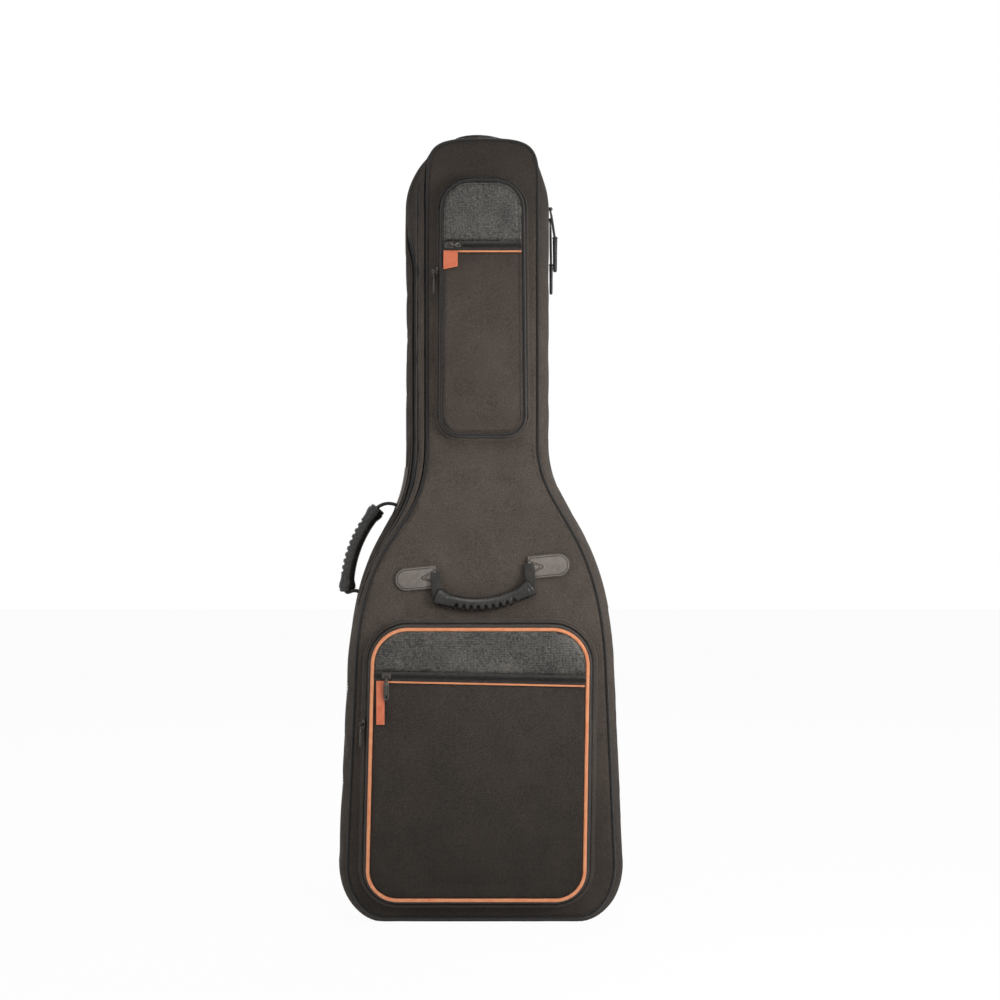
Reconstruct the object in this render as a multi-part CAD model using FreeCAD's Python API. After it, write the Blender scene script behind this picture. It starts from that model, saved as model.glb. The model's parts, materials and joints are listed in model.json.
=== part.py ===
"""Padded guitar gig bag: a book-opening padded shell with two zipped pockets on its lid,
a front handle, a side handle, six zip sliders with pulls, and two shoulder straps.

Frame: +Z runs up the bag from the flat bottom it stands on, +X to the right as seen from
the front, and the lid faces -Y.  The main zip lies in the plane Y = 0.  Millimetres.
"""
import FreeCAD, Part
import math
import os

V = FreeCAD.Vector

# ---------------------------------------------------------------- shell, driving sizes
BAG_LENGTH = 1050.0
LOWER_WIDTH = 377.0  # at the top of the bottom corners
BOUT_WIDTH = 354.0  # at the top of the straight sides
NECK_WIDTH = 188.0
BAG_DEPTH = 90.0  # from front panel to back panel
CORNER_WIDTH = 60.0
CORNER_HEIGHT = 80.0
SIDE_TOP_Z = 340.0  # the straight sides, and the fabric hinge, end here
NECK_BASE_Z = 640.0  # the shoulders end and the straight neck starts here
SHOULDER_PULL = 200.0  # how far the bout keeps its line before it turns in
WAIST_PULL_LEFT = 135.0  # how far the neck keeps its line below its base, on each side
WAIST_PULL_RIGHT = 100.0
NECK_OFFSET = -6.0  # the neck leans a little to the left
FRONT_NECK_LEAN = 8.0  # the front panel's neck sits to the right of the gusset's
SEAM_IN_BODY = 11.0  # how far the face seams lie inside the widest outline
SEAM_IN_NECK = 21.0
SEAM_IN_END = 7.5
SOLE_FLAT = 0.4  # the gusset's rounded underside is pressed flat by this much
GUSSET_ROLL = 13.0  # depth over which the gusset rolls from a face seam to full width
FACE_HEAD_RISE = 58.0
FACE_HEAD_FULLNESS = 0.88
CIRCLE_FULLNESS = 0.5523

# ---------------------------------------------------------------- shell, layers
FABRIC = 2.0
PANEL_FOAM = 15.0
LINING = 1.5
SIDE_FOAM = 8.0
PIPING_R = 2.2
SEWN_GAP = 0.35  # between layers that are only sewn at their edges
ZIP_SLOT = 4.0  # half width of the slot between the two gussets
ZIP_TAPE = 9.0
ZIP_TAPE_THICK = 1.2
LID_GAP = 0.4  # each zip tape stops this far from the parting plane

# ---------------------------------------------------------------- pockets
LOWER_POCKET_SIDE = 46.0  # bag side to pocket piping
LOWER_POCKET_BOTTOM = 34.5
LOWER_POCKET_TOP = 392.0
LOWER_POCKET_LEAN = 7.0  # the pocket's lower edge sits this far left of its top edge
LOWER_POCKET_DEPTH = 28.0
LOWER_POCKET_FLARE = 14.5
LOWER_POCKET_CORNERS = (39.0, 39.0, 47.0, 47.0)
LOWER_ZIP_DROP = 0.0212  # slope of the front zip, falling to the right
LOWER_VINYL = 58.0
ZIP_STRIP = 12.0
FLAP_HINGE_Z = 256.0
FLAP_ZIP_REACH = 13.5  # distance of the U-shaped zip from the front panel
FLAP_GAP = 0.3
ORANGE_PIPING_R = 2.6
TRIM_R = 1.2
UPPER_POCKET_SIDE = 18.5  # neck seam to pocket piping
UPPER_POCKET_FROM_TOP = 64.0
UPPER_POCKET_ABOVE_NECK_BASE = 9.0
UPPER_POCKET_DEPTH = 20.0
UPPER_POCKET_FLARE = 7.0
UPPER_POCKET_CORNERS = (25.0, 25.0, 38.0, 38.0)
UPPER_VINYL = 80.5
DARK_PIPING_R = 1.6
POCKET_FABRIC = 1.6
LABEL_THICK = 1.2
UPPER_LABEL = (19.0, 25.0)
LOWER_LABEL = (11.0, 58.0)

# ---------------------------------------------------------------- handles
HANDLE_ABOVE_POCKET = 75.0
HANDLE_TILT = 5.5
HANDLE_PIVOT_SPACING = 130.0
PATCH_SIZE = (56.0, 31.0, 2.2)
PATCH_TAB = (24.0, 20.0, 1.8)
GRIP_R = 7.0
GRIP_CHORD = 120.0
GRIP_SAG = 15.0
GRIP_DROP = 27.0
WEBBING_THICK = 2.4
PIVOT_R = 1.6
RUNNING_GAP = 0.5
SIDE_GRIP_R = 9.5
SIDE_ROOTS_Z = (558.0, 441.0)
SIDE_HANDLE_Y = 20.0
SIDE_ROOT_STAND = 5.5  # the webbing bends this far off the gusset
SIDE_ROOT_WIDTH = 7.0
SIDE_ROOT_TAPER = 10.0
SIDE_GRIP_STAND = 28.0
SIDE_GRIP_END_STAND = (21.0, 15.5)
SIDE_WEBBING_WIDTH = 22.0
ANCHOR_LENGTH = 52.0

# ---------------------------------------------------------------- zip sliders and pulls
LOWER_SLIDER_IN = 19.0
UPPER_SLIDER_IN = 10.0
SLIDER_LENGTH = 13.0
SLIDER_FOOT = (6.4, 2.2)
SLIDER_TOP = (9.0, 2.6)
LUG_REACH = 3.9
LUG_GAP = 4.4
LUG_THICK = 1.2
LUG_HALF = 1.5
BAR_R = 0.9
BAR_UP = 2.6
EYE_R = 2.1
EYE_HOLE_R = 1.25
EYE_WIDTH = 3.2

# ---------------------------------------------------------------- straps and inner fittings
YOKE_SIDE_IN = 29.0
STRAP_APART = 6.0
STRAP_WIDTH = NECK_WIDTH / 2 - YOKE_SIDE_IN - STRAP_APART / 2
STRAP_TOP = ((STRAP_WIDTH + STRAP_APART) / 2, 600.0)
STRAP_END = (100.0, 262.0)
RING_SIDE_IN = 46.5
STRAP_RING = (LOWER_WIDTH / 2 - RING_SIDE_IN, 112.0)
STRAP_END_WIDTH = 46.0
STRAP_THICK = 10.0
STRAP_OFF_BACK = 6.5
STRAP_WEBBING = (25.0, 2.0)
YOKE_ABOVE_PAD = 11.0
YOKE_HEIGHT = 34.0
CRADLE_ABOVE_NECK_BASE = 60.0
CRADLE_SIDE_IN = 19.0
CRADLE_SIZE = (NECK_WIDTH - 2 * CRADLE_SIDE_IN, 30.0, 65.0)
CRADLE_SLOT = (64.0, 25.0)
NECK_STRAP_SHORT_BY = 40.0
NECK_STRAP = (CRADLE_SIZE[0] - NECK_STRAP_SHORT_BY, 2.6, 38.0)
END_PAD_SIDE_IN = 58.5
END_PAD = (LOWER_WIDTH - 2 * END_PAD_SIDE_IN, 24.0, 32.0)

FACE_Y = -BAG_DEPTH / 2
BACK_Y = BAG_DEPTH / 2
ROLL_Y = BAG_DEPTH / 2 - GUSSET_ROLL
HEAD_START = BAG_LENGTH - NECK_WIDTH / 2
SIDE_DIR = V((BOUT_WIDTH - LOWER_WIDTH) / 2, 0, SIDE_TOP_Z - CORNER_HEIGHT).normalize()
BIG = 3000.0


def lerp(a, b, t):
    return a + (b - a) * t


def box(low, high):
    size = [h - l for l, h in zip(low, high)]
    return Part.makeBox(size[0], size[1], size[2], V(*low))


def bezier(poles):
    curve = Part.BezierCurve()
    curve.setPoles(poles)
    return curve.toShape()


def one_solid(shape):
    """The shape's only solid, with the seams left by a boolean merged."""
    return shape.removeSplitter().Solids[0]


# ---------------------------------------------------------------- shell outline
def width_blend(y):
    """0 on a face seam, 1 where the gusset is at its widest."""
    return max(0.0, min(1.0, (BAG_DEPTH / 2 - abs(y)) / GUSSET_ROLL))


def half_outline(side, y, inset, blend):
    """Pole lists of one half outline, from the bottom corner up to the top middle."""
    side_in = lerp(SEAM_IN_BODY, 0, blend) + inset
    neck_in = lerp(SEAM_IN_NECK, 0, blend) + inset
    end_in = lerp(SEAM_IN_END, 0, blend) + inset
    neck_x = NECK_OFFSET + (FRONT_NECK_LEAN * (1 - blend) if y < 0 else 0)
    head_z = lerp(BAG_LENGTH - SEAM_IN_END - FACE_HEAD_RISE, HEAD_START, blend)
    fullness = lerp(FACE_HEAD_FULLNESS, CIRCLE_FULLNESS, blend)
    top_z = BAG_LENGTH - end_in
    lean = V(side * SIDE_DIR.x, 0, SIDE_DIR.z)
    corner = V(side * (LOWER_WIDTH / 2 - CORNER_WIDTH), y, end_in - SOLE_FLAT)
    lower = V(side * (LOWER_WIDTH / 2 - side_in), y, CORNER_HEIGHT)
    upper = V(side * (BOUT_WIDTH / 2 - side_in), y, SIDE_TOP_Z)
    neck_half = NECK_WIDTH / 2 - neck_in
    neck = V(neck_x + side * neck_half, y, NECK_BASE_Z)
    head = V(neck.x, y, head_z)
    top = V(neck_x, y, top_z)
    waist_pull = WAIST_PULL_RIGHT if side > 0 else WAIST_PULL_LEFT
    corner_reach = CIRCLE_FULLNESS * (CORNER_WIDTH - side_in)
    corner_rise = CIRCLE_FULLNESS * (CORNER_HEIGHT - end_in)
    return [
        [corner, corner + V(side * corner_reach, 0, 0), lower - lean * corner_rise, lower],
        [lower, upper],
        [upper, upper + lean * SHOULDER_PULL, neck - V(0, 0, waist_pull), neck],
        [neck, head],
        [head, head + V(0, 0, fullness * (top_z - head_z)),
         top + V(side * fullness * neck_half, 0, 0), top],
    ]


def outline(y, inset=0.0, blend=None):
    """Closed wire of the guitar-shaped outline in the plane at depth y."""
    if blend is None:
        blend = width_blend(y)
    right = half_outline(1, y, inset, blend)
    left = half_outline(-1, y, inset, blend)
    edges = [bezier([left[0][0], right[0][0]])]
    edges += [bezier(poles) for poles in right]
    edges += [bezier(poles[::-1]) for poles in left[::-1]]
    return Part.Wire(edges)


def layer(y_from, y_to, inset):
    """Solid of the shell's outline, inset all round, between two depths."""
    stops = [y_from] + [y for y in (-ROLL_Y, ROLL_Y) if y_from < y < y_to] + [y_to]
    return Part.makeLoft([outline(y, inset) for y in stops], True, True)


def ring(y_from, y_to, outer, inner):
    """Wall that follows the outline between two depths, from one inset to another."""
    return one_solid(layer(y_from, y_to, outer).cut(layer(y_from - 1, y_to + 1, inner)))


def standing_ring(y_from, y_to, outer, inner):
    """A ring whose underside is flat, in the plane that the bag stands on."""
    below = box((-BIG, -BIG, -BIG), (BIG, BIG, 0))
    return one_solid(ring(y_from, y_to, outer, inner).cut(below))


def plate(y_from, y_to, inset):
    """Flat plate of the face seam's outline."""
    return Part.Face(outline(y_from, inset, 0.0)).extrude(V(0, y_to - y_from, 0))


def tube_around(make_wire, y, radius):
    """Six-sided piping that runs round a closed outline."""
    def skin(sign):
        offsets = [(-1.0, 0.5), (0.0, 1.0), (1.0, 0.5)]
        wires = [make_wire(y + radius * dy, sign * radius * out) for dy, out in offsets]
        return Part.makeLoft(wires, True, True)
    return one_solid(skin(-1).cut(skin(1)))


def edge_x(side, z):
    """X of the widest outline at height z, on the straight side, the shoulder or the neck."""
    poles = half_outline(side, 0, 0.0, 1.0)
    if z >= NECK_BASE_Z:
        return poles[3][0].x
    if z <= SIDE_TOP_Z:
        lower, upper = poles[1]
        return lerp(lower.x, upper.x, (z - lower.z) / (upper.z - lower.z))
    curve = Part.BezierCurve()
    curve.setPoles(poles[2])
    low, high = 0.0, 1.0
    for _ in range(40):
        middle = (low + high) / 2
        if curve.value(middle).z < z:
            low = middle
        else:
            high = middle
    return curve.value(low).x


def make_half_shell(side):
    """The layers of one half: side -1 is the lid's half, +1 the back half."""
    def span(near, far, build, *args):
        return build(min(side * near, side * far), max(side * near, side * far), *args)
    face = BAG_DEPTH / 2
    foam_face = face - FABRIC
    lining_face = foam_face - PANEL_FOAM
    sewn_edge = face - PIPING_R - SEWN_GAP
    padding_start = FABRIC + SEWN_GAP
    inner = padding_start + SIDE_FOAM
    return {
        "panel": span(foam_face, face, plate, PIPING_R + 0.2),
        "foam": span(lining_face, foam_face, layer, inner + SEWN_GAP),
        "lining": span(lining_face - LINING, lining_face, layer, inner + SEWN_GAP),
        "gusset": span(ZIP_SLOT, sewn_edge, standing_ring, 0.0, FABRIC),
        "gusset_padding": span(ZIP_TAPE + SEWN_GAP, sewn_edge, ring, padding_start, inner),
        "zip_tape": span(LID_GAP, ZIP_TAPE, ring, FABRIC + 0.1, FABRIC + 0.1 + ZIP_TAPE_THICK),
        "piping": tube_around(lambda y, inset: outline(y, inset, 0.0), side * face, PIPING_R),
    }


# ---------------------------------------------------------------- pockets
def rounded_wire(corners, radii, y):
    """Closed wire of straight runs joined by tangent arcs."""
    edges = []
    starts = []
    ends = []
    count = len(corners)
    for i in range(count):
        here = V(corners[i][0], y, corners[i][1])
        before = V(corners[i - 1][0], y, corners[i - 1][1])
        after = V(corners[(i + 1) % count][0], y, corners[(i + 1) % count][1])
        back = (before - here).normalize()
        ahead = (after - here).normalize()
        half_angle = back.getAngle(ahead) / 2
        reach = radii[i] / math.tan(half_angle)
        middle_dir = (back + ahead).normalize()
        middle = here + middle_dir * (radii[i] / math.sin(half_angle) - radii[i])
        starts.append(here + back * reach)
        ends.append(here + ahead * reach)
        edges.append(Part.Arc(starts[i], middle, ends[i]).toShape())
    wire = []
    for i in range(count):
        wire.append(edges[i])
        wire.append(Part.LineSegment(ends[i], starts[(i + 1) % count]).toShape())
    return Part.Wire(wire)


class Pocket:
    """A boxed pocket on the front panel: a flared gusset ring and a flat face."""

    def __init__(self, corners, radii, depth, flare, piping_r):
        self.corners = corners  # bottom left, bottom right, top right, top left
        self.radii = radii
        self.depth = depth
        self.flare = flare
        self.piping_r = piping_r
        self.face_y = FACE_Y - depth

    def wire_at(self, y, inset, out):
        grow = out - inset
        signs = ((-1, -1), (1, -1), (1, 1), (-1, 1))
        corners = [(x + sx * grow, z + sz * grow) for (x, z), (sx, sz) in zip(self.corners, signs)]
        radii = [max(3.0, radius + grow) for radius in self.radii]
        return rounded_wire(corners, radii, y)

    def out_at(self, reach):
        return self.flare * (1 - reach / self.depth)

    def body(self, reach_from, reach_to, inset):
        wires = [self.wire_at(FACE_Y - r, inset, self.out_at(r)) for r in (reach_to, reach_from)]
        return Part.makeLoft(wires, True, True)

    def gusset(self):
        edge = self.depth - self.piping_r - SEWN_GAP
        return self.body(0, edge, 0).cut(self.body(-1, edge + 1, POCKET_FABRIC))

    def face(self):
        wire = self.wire_at(self.face_y, self.piping_r + 0.2, 0)
        return Part.Face(wire).extrude(V(0, POCKET_FABRIC, 0))

    def piping(self):
        return tube_around(lambda y, inset: self.wire_at(y, inset, 0), self.face_y, self.piping_r)

    def left_x(self, z):
        bottom, top = self.corners[0], self.corners[3]
        return lerp(bottom[0], top[0], (z - bottom[1]) / (top[1] - bottom[1]))


def lower_pocket():
    half = LOWER_WIDTH / 2 - LOWER_POCKET_SIDE
    low = -LOWER_POCKET_LEAN
    corners = [
        (low - half - 1, LOWER_POCKET_BOTTOM),
        (low + half + 1, LOWER_POCKET_BOTTOM),
        (half - 0.5, LOWER_POCKET_TOP),
        (0.5 - half, LOWER_POCKET_TOP),
    ]
    return Pocket(corners, LOWER_POCKET_CORNERS, LOWER_POCKET_DEPTH, LOWER_POCKET_FLARE, ORANGE_PIPING_R)


def upper_pocket():
    half = NECK_WIDTH / 2 - SEAM_IN_NECK - UPPER_POCKET_SIDE
    centre = NECK_OFFSET + FRONT_NECK_LEAN
    bottom = NECK_BASE_Z + UPPER_POCKET_ABOVE_NECK_BASE
    top = BAG_LENGTH - UPPER_POCKET_FROM_TOP
    corners = [
        (centre - half - 1, bottom),
        (centre + half + 2, bottom),
        (centre + half - 1, top),
        (centre - half + 1, top),
    ]
    return Pocket(corners, UPPER_POCKET_CORNERS, UPPER_POCKET_DEPTH, UPPER_POCKET_FLARE, DARK_PIPING_R)


def above_line(z, slope):
    """Half space above the line z + slope * x, as a very large block."""
    def point(x):
        return V(x, -BIG, z + slope * x)
    poles = [point(-BIG), point(BIG), V(BIG, -BIG, 2 * BIG), V(-BIG, -BIG, 2 * BIG), point(-BIG)]
    return Part.Face(Part.makePolygon(poles)).extrude(V(0, 2 * BIG, 0))


def face_strips(pocket, zip_z, slope):
    """The face cut into its lower cloth, its zip strip and its embossed top."""
    face = pocket.face()
    strip_low = above_line(zip_z - ZIP_STRIP / 2, slope)
    strip_high = above_line(zip_z + ZIP_STRIP / 2, slope)
    cloth = face.cut(strip_low)
    zip_strip = face.common(strip_low).cut(strip_high)
    vinyl = face.common(strip_high)
    return one_solid(cloth), one_solid(zip_strip), one_solid(vinyl)


def trim_cord(pocket, zip_z, slope, x_from, x_to):
    """Thin round trim sewn under a zip strip."""
    drop = ZIP_STRIP / 2 + TRIM_R + 0.3
    y = pocket.face_y - TRIM_R - 0.05
    start = V(x_from, y, zip_z + slope * x_from - drop)
    end = V(x_to, y, zip_z + slope * x_to - drop)
    return Part.makeCylinder(TRIM_R, (end - start).Length, start, end - start)


def label(pocket, size, left, top):
    """A folded cloth tag, left bare."""
    low = (left, pocket.face_y - LABEL_THICK, top - size[1])
    return box(low, (left + size[0], pocket.face_y, top))


def make_lower_pocket():
    pocket = lower_pocket()
    zip_z = LOWER_POCKET_TOP - LOWER_VINYL - ZIP_STRIP / 2
    cloth, zip_strip, vinyl = face_strips(pocket, zip_z, -LOWER_ZIP_DROP)
    above = above_line(FLAP_HINGE_Z + FLAP_GAP, 0)
    not_below = above_line(FLAP_HINGE_Z - FLAP_GAP, 0)
    gusset = pocket.gusset()
    in_front = box((-BIG, FACE_Y - BIG, -BIG), (BIG, FACE_Y - FLAP_ZIP_REACH, BIG))
    flap_front = in_front.copy()
    flap_front.translate(V(0, -FLAP_GAP, 0))
    piping = pocket.piping()
    left = pocket.left_x(zip_z)
    right = -left
    label_left = left + ORANGE_PIPING_R + 3.0
    label_top = zip_z - ZIP_STRIP / 2 - 0.5 - LOWER_ZIP_DROP * left
    trim_left = label_left + LOWER_LABEL[0] + 1.0
    return {
        "lower_pocket_gusset": one_solid(gusset.cut(in_front.common(not_below))),
        "lower_pocket_face": one_solid(cloth.cut(not_below)),
        "lower_pocket_piping": one_solid(piping.cut(not_below)),
        "flap_gusset": one_solid(gusset.common(flap_front).common(above)),
        "flap_face": one_solid(cloth.common(above)),
        "flap_zip": zip_strip,
        "flap_vinyl": vinyl,
        "flap_piping": one_solid(piping.common(above)),
        "flap_trim": trim_cord(pocket, zip_z, -LOWER_ZIP_DROP, trim_left, right - ORANGE_PIPING_R - 4.5),
        "flap_label": label(pocket, LOWER_LABEL, label_left, label_top),
    }


def upper_zip_z():
    return BAG_LENGTH - UPPER_POCKET_FROM_TOP - UPPER_VINYL - ZIP_STRIP / 2


def make_upper_pocket():
    pocket = upper_pocket()
    zip_z = upper_zip_z()
    cloth, zip_strip, vinyl = face_strips(pocket, zip_z, 0)
    left = pocket.left_x(zip_z) + DARK_PIPING_R + 0.8
    right = pocket.corners[2][0] - DARK_PIPING_R - 0.8
    return {
        "upper_pocket_gusset": one_solid(pocket.gusset()),
        "upper_pocket_face": cloth,
        "upper_pocket_zip": zip_strip,
        "upper_pocket_vinyl": vinyl,
        "upper_pocket_piping": pocket.piping(),
        "upper_pocket_trim": trim_cord(pocket, zip_z, 0, left + UPPER_LABEL[0] + 1, right),
        "upper_pocket_label": label(pocket, UPPER_LABEL, left, zip_z - ZIP_STRIP / 2 - 0.5),
    }


# ---------------------------------------------------------------- handles
def tilted(shape):
    """Move a shape from the handle's own frame, pivot line along X, onto the front panel."""
    shape.rotate(V(0, 0, 0), V(0, 1, 0), -HANDLE_TILT)
    shape.translate(V(NECK_OFFSET + FRONT_NECK_LEAN, FACE_Y, LOWER_POCKET_TOP + HANDLE_ABOVE_POCKET))
    return shape


def bent_rod(points, radius):
    """Round rod along the arc through three points."""
    arc = Part.Arc(*points).toShape()
    start = arc.valueAt(arc.FirstParameter)
    circle = Part.Wire(Part.makeCircle(radius, start, arc.tangentAt(arc.FirstParameter)))
    return Part.Wire(arc).makePipeShell([circle], True, False)


def end_collar(points, radius, length):
    """Short thicker sleeves on both ends of a bent rod."""
    arc = Part.Arc(*points).toShape()
    first, last = arc.FirstParameter, arc.LastParameter
    start, end = arc.valueAt(first), arc.valueAt(last)
    front = Part.makeCylinder(radius, length, start, arc.tangentAt(first))
    back = Part.makeCylinder(radius, length, end, arc.tangentAt(last) * -1)
    return front.fuse(back)


PIVOT_Y = -(PATCH_SIZE[2] + PATCH_TAB[2] + RUNNING_GAP + PIVOT_R)


def make_patches():
    """Two stitched patches with the sewn-down ends of the handle's webbing."""
    length, height, thick = PATCH_SIZE
    patches = []
    for side in (-1, 1):
        inner = side * (HANDLE_PIVOT_SPACING / 2 - 4)
        outer = inner + side * length
        centre = outer - side * height / 2
        low, high = min(inner, centre), max(inner, centre)
        body = box((low, -thick, -height / 2), (high, 0, height / 2))
        nose = Part.makeCylinder(height / 2, thick, V(centre, 0, 0), V(0, -1, 0))
        tab_outer = inner + side * PATCH_TAB[0]
        tab_low, tab_high = min(inner, tab_outer), max(inner, tab_outer)
        tab = box((tab_low, -thick - PATCH_TAB[2], -PATCH_TAB[1] / 2), (tab_high, -thick, PATCH_TAB[1] / 2))
        patches.append(one_solid(body.fuse(nose).fuse(tab)))
    return tilted(Part.makeCompound(patches))


def front_grip_points():
    y = PIVOT_Y - GRIP_R + PIVOT_R - 1.0
    half = GRIP_CHORD / 2
    return V(-half, y, -GRIP_DROP), V(0, y, -GRIP_DROP - GRIP_SAG), V(half, y, -GRIP_DROP)


def make_front_handle():
    points = front_grip_points()
    grip = bent_rod(points, GRIP_R).fuse(end_collar(points, GRIP_R + 1.5, 12.0))
    straps = []
    for side in (-1, 1):
        pivot = V(side * HANDLE_PIVOT_SPACING / 2, PIVOT_Y, 0)
        width = PATCH_TAB[1]
        start = V(pivot.x - width / 2, PIVOT_Y, 0)
        knuckle = Part.makeCylinder(PIVOT_R, width, start, V(1, 0, 0))
        tongue_top = V(start.x, PIVOT_Y - WEBBING_THICK / 2, -GRIP_DROP + 2)
        tongue = Part.makeBox(width, WEBBING_THICK, GRIP_DROP - 2, tongue_top)
        straps.append(one_solid(knuckle.fuse(tongue).cut(grip)))
    webbing = Part.makeCompound(straps)
    return {
        "front_handle_grip": tilted(one_solid(grip)),
        "front_handle_webbing": tilted(webbing),
    }


def side_handle_line():
    """The two strap roots on the left shoulder, and the directions along and out from them."""
    top_z, bottom_z = SIDE_ROOTS_Z
    top = V(edge_x(-1, top_z), SIDE_HANDLE_Y, top_z)
    bottom = V(edge_x(-1, bottom_z), SIDE_HANDLE_Y, bottom_z)
    along = (bottom - top).normalize()
    out = V(along.z, 0, -along.x)
    return top, bottom, along, out


def tapered_strap(length):
    """Webbing along +X, folded narrow at its root so that it can swing there."""
    stations = ((0, SIDE_ROOT_WIDTH), (SIDE_ROOT_TAPER, SIDE_WEBBING_WIDTH), (length, SIDE_WEBBING_WIDTH))
    near = [V(x, -width / 2, -WEBBING_THICK / 2) for x, width in stations]
    far = [V(x, width / 2, -WEBBING_THICK / 2) for x, width in stations]
    profile = Part.makePolygon(near + far[::-1] + near[:1])
    return Part.Face(profile).extrude(V(0, 0, WEBBING_THICK))


def make_side_handle():
    top, bottom, along, out = side_handle_line()
    length = (bottom - top).Length
    first = top + along * 20 + out * SIDE_GRIP_END_STAND[0]
    middle = top + along * (length * 0.62) + out * SIDE_GRIP_STAND
    last = top + along * (length + 6) + out * SIDE_GRIP_END_STAND[1]
    points = (first, middle, last)
    grip = bent_rod(points, SIDE_GRIP_R).fuse(end_collar(points, SIDE_GRIP_R + 1.5, 12.0))
    straps = []
    for root, tip in ((top, first), (bottom, last)):
        start = root + out * SIDE_ROOT_STAND
        reach = tip - start
        strap = tapered_strap(reach.Length)
        angle = math.degrees(math.atan2(-reach.z, reach.x))
        strap.rotate(V(0, 0, 0), V(0, 1, 0), angle)
        strap.translate(start)
        straps.append(one_solid(strap.cut(grip)))
    return {
        "side_handle_grip": one_solid(grip),
        "side_handle_webbing": Part.makeCompound(straps),
    }


def make_side_anchors():
    """Webbing ends sewn flat along the gusset above and below the side handle."""
    half = SIDE_WEBBING_WIDTH / 2
    top_z, bottom_z = SIDE_ROOTS_Z
    skin = layer(SIDE_HANDLE_Y - half, min(SIDE_HANDLE_Y + half, ROLL_Y), -FABRIC)
    skin = skin.cut(layer(SIDE_HANDLE_Y - half - 1, SIDE_HANDLE_Y + half + 1, -0.05))
    pieces = []
    for low in (top_z - 2, bottom_z + 2 - ANCHOR_LENGTH):
        window = box((-BIG, -BIG, low), (0, BIG, low + ANCHOR_LENGTH))
        pieces.append(one_solid(skin.common(window)))
    return Part.makeCompound(pieces)


# ---------------------------------------------------------------- zip sliders and pulls
PIVOT_OUT = SLIDER_FOOT[1] + SLIDER_TOP[1] + BAR_UP


def slider_shape(upright):
    """A slider on a surface at Y = 0 that faces -Y, its pull bar along X."""
    foot_width, foot = SLIDER_FOOT
    top_width, top = SLIDER_TOP

    def slab(width, y_from, y_to):
        size = (width, SLIDER_LENGTH) if upright else (SLIDER_LENGTH, width)
        return box((-size[0] / 2, -y_to, -size[1] / 2), (size[0] / 2, -y_from, size[1] / 2))
    body = slab(foot_width, 0.3, foot).fuse(slab(top_width, foot, foot + top))
    for side in (-1, 1):
        x = side * (LUG_GAP / 2 + LUG_THICK / 2)
        lug = box((x - LUG_THICK / 2, -foot - top - LUG_REACH, -LUG_HALF),
                  (x + LUG_THICK / 2, -foot - top, LUG_HALF))
        body = body.fuse(lug)
    bar_length = LUG_GAP + LUG_THICK
    bar = Part.makeCylinder(BAR_R, bar_length, V(-bar_length / 2, -PIVOT_OUT, 0), V(1, 0, 0))
    return one_solid(body.fuse(bar))


def pull_eye():
    """The eye of a pull, round the slider's bar."""
    start = V(-EYE_WIDTH / 2, -PIVOT_OUT, 0)
    eye = Part.makeCylinder(EYE_R, EYE_WIDTH, start, V(1, 0, 0))
    return eye.cut(Part.makeCylinder(EYE_HOLE_R, EYE_WIDTH, start, V(1, 0, 0)))


def tab_outline(half, top, bottom, y):
    """Closed wire of a tab in the plane at depth y: square at the top, round at the bottom."""
    corner, other = V(half, y, top), V(-half, y, top)
    low, other_low = V(half, y, bottom + half), V(-half, y, bottom + half)
    return Part.Wire([
        Part.LineSegment(other, corner).toShape(),
        Part.LineSegment(corner, low).toShape(),
        Part.Arc(low, V(0, y, bottom), other_low).toShape(),
        Part.LineSegment(other_low, other).toShape(),
    ])


def tab_pull(length, width, hole):
    """Flat metal tab with a hole near its end, hung from a pull eye."""
    thick = 1.8
    y = -PIVOT_OUT - thick / 2
    neck_end = -9.0
    neck_half = EYE_WIDTH / 2 - 0.2
    neck = box((-neck_half, y, neck_end - 1), (neck_half, y + thick, -EYE_HOLE_R - 0.3))
    tab = Part.Face(tab_outline(width / 2, neck_end, -length, y)).extrude(V(0, thick, 0))
    hole_z = -length + width / 2
    punch = Part.makeCylinder(hole / 2, 4 * thick, V(0, y - thick, hole_z), V(0, 1, 0))
    return one_solid(pull_eye().fuse(neck).fuse(tab).cut(punch))


def cord_pull(shift, out, link, tube, tube_r):
    """A wire link and cord from the slider's bar, with a moulded tube on the end."""
    y = -PIVOT_OUT
    arm_r = 1.5
    side = math.copysign(1.0, shift)
    tip = V(shift, y - out, -link)
    crossbar_z = -EYE_R + 0.1
    crossbar = Part.makeCylinder(arm_r, abs(shift), V(0, y, crossbar_z - arm_r), V(side, 0, 0))
    elbow = V(shift, y, crossbar_z - arm_r)
    ball = Part.makeSphere(arm_r, elbow)
    arm = Part.makeCylinder(arm_r, (tip - elbow).Length, elbow, tip - elbow)
    knot = Part.makeSphere(tube_r, tip)
    sleeve = Part.makeCylinder(tube_r, tube, tip, V(0, 0, -1))
    return one_solid(pull_eye().fuse(crossbar).fuse(ball).fuse(arm).fuse(knot).fuse(sleeve))


def placed(shape, origin, turn):
    """Turn a front-facing shape about Z and put its surface point at origin."""
    shape.rotate(V(0, 0, 0), V(0, 0, 1), turn)
    shape.translate(origin)
    return shape


def main_slider_origins():
    x = NECK_OFFSET + NECK_WIDTH / 2 - FABRIC
    return V(x, 0, HEAD_START), V(x, 0, HEAD_START - SLIDER_LENGTH - 2.0)


def side_zip_frame(pocket, reach, z):
    """Point on a pocket's left gusset, and the turn that faces a slider away from it."""
    slope = math.degrees(math.atan2(pocket.depth, pocket.flare))
    x = pocket.left_x(z) - pocket.out_at(reach)
    return V(x - 0.2, FACE_Y - reach, z), -slope


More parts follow.
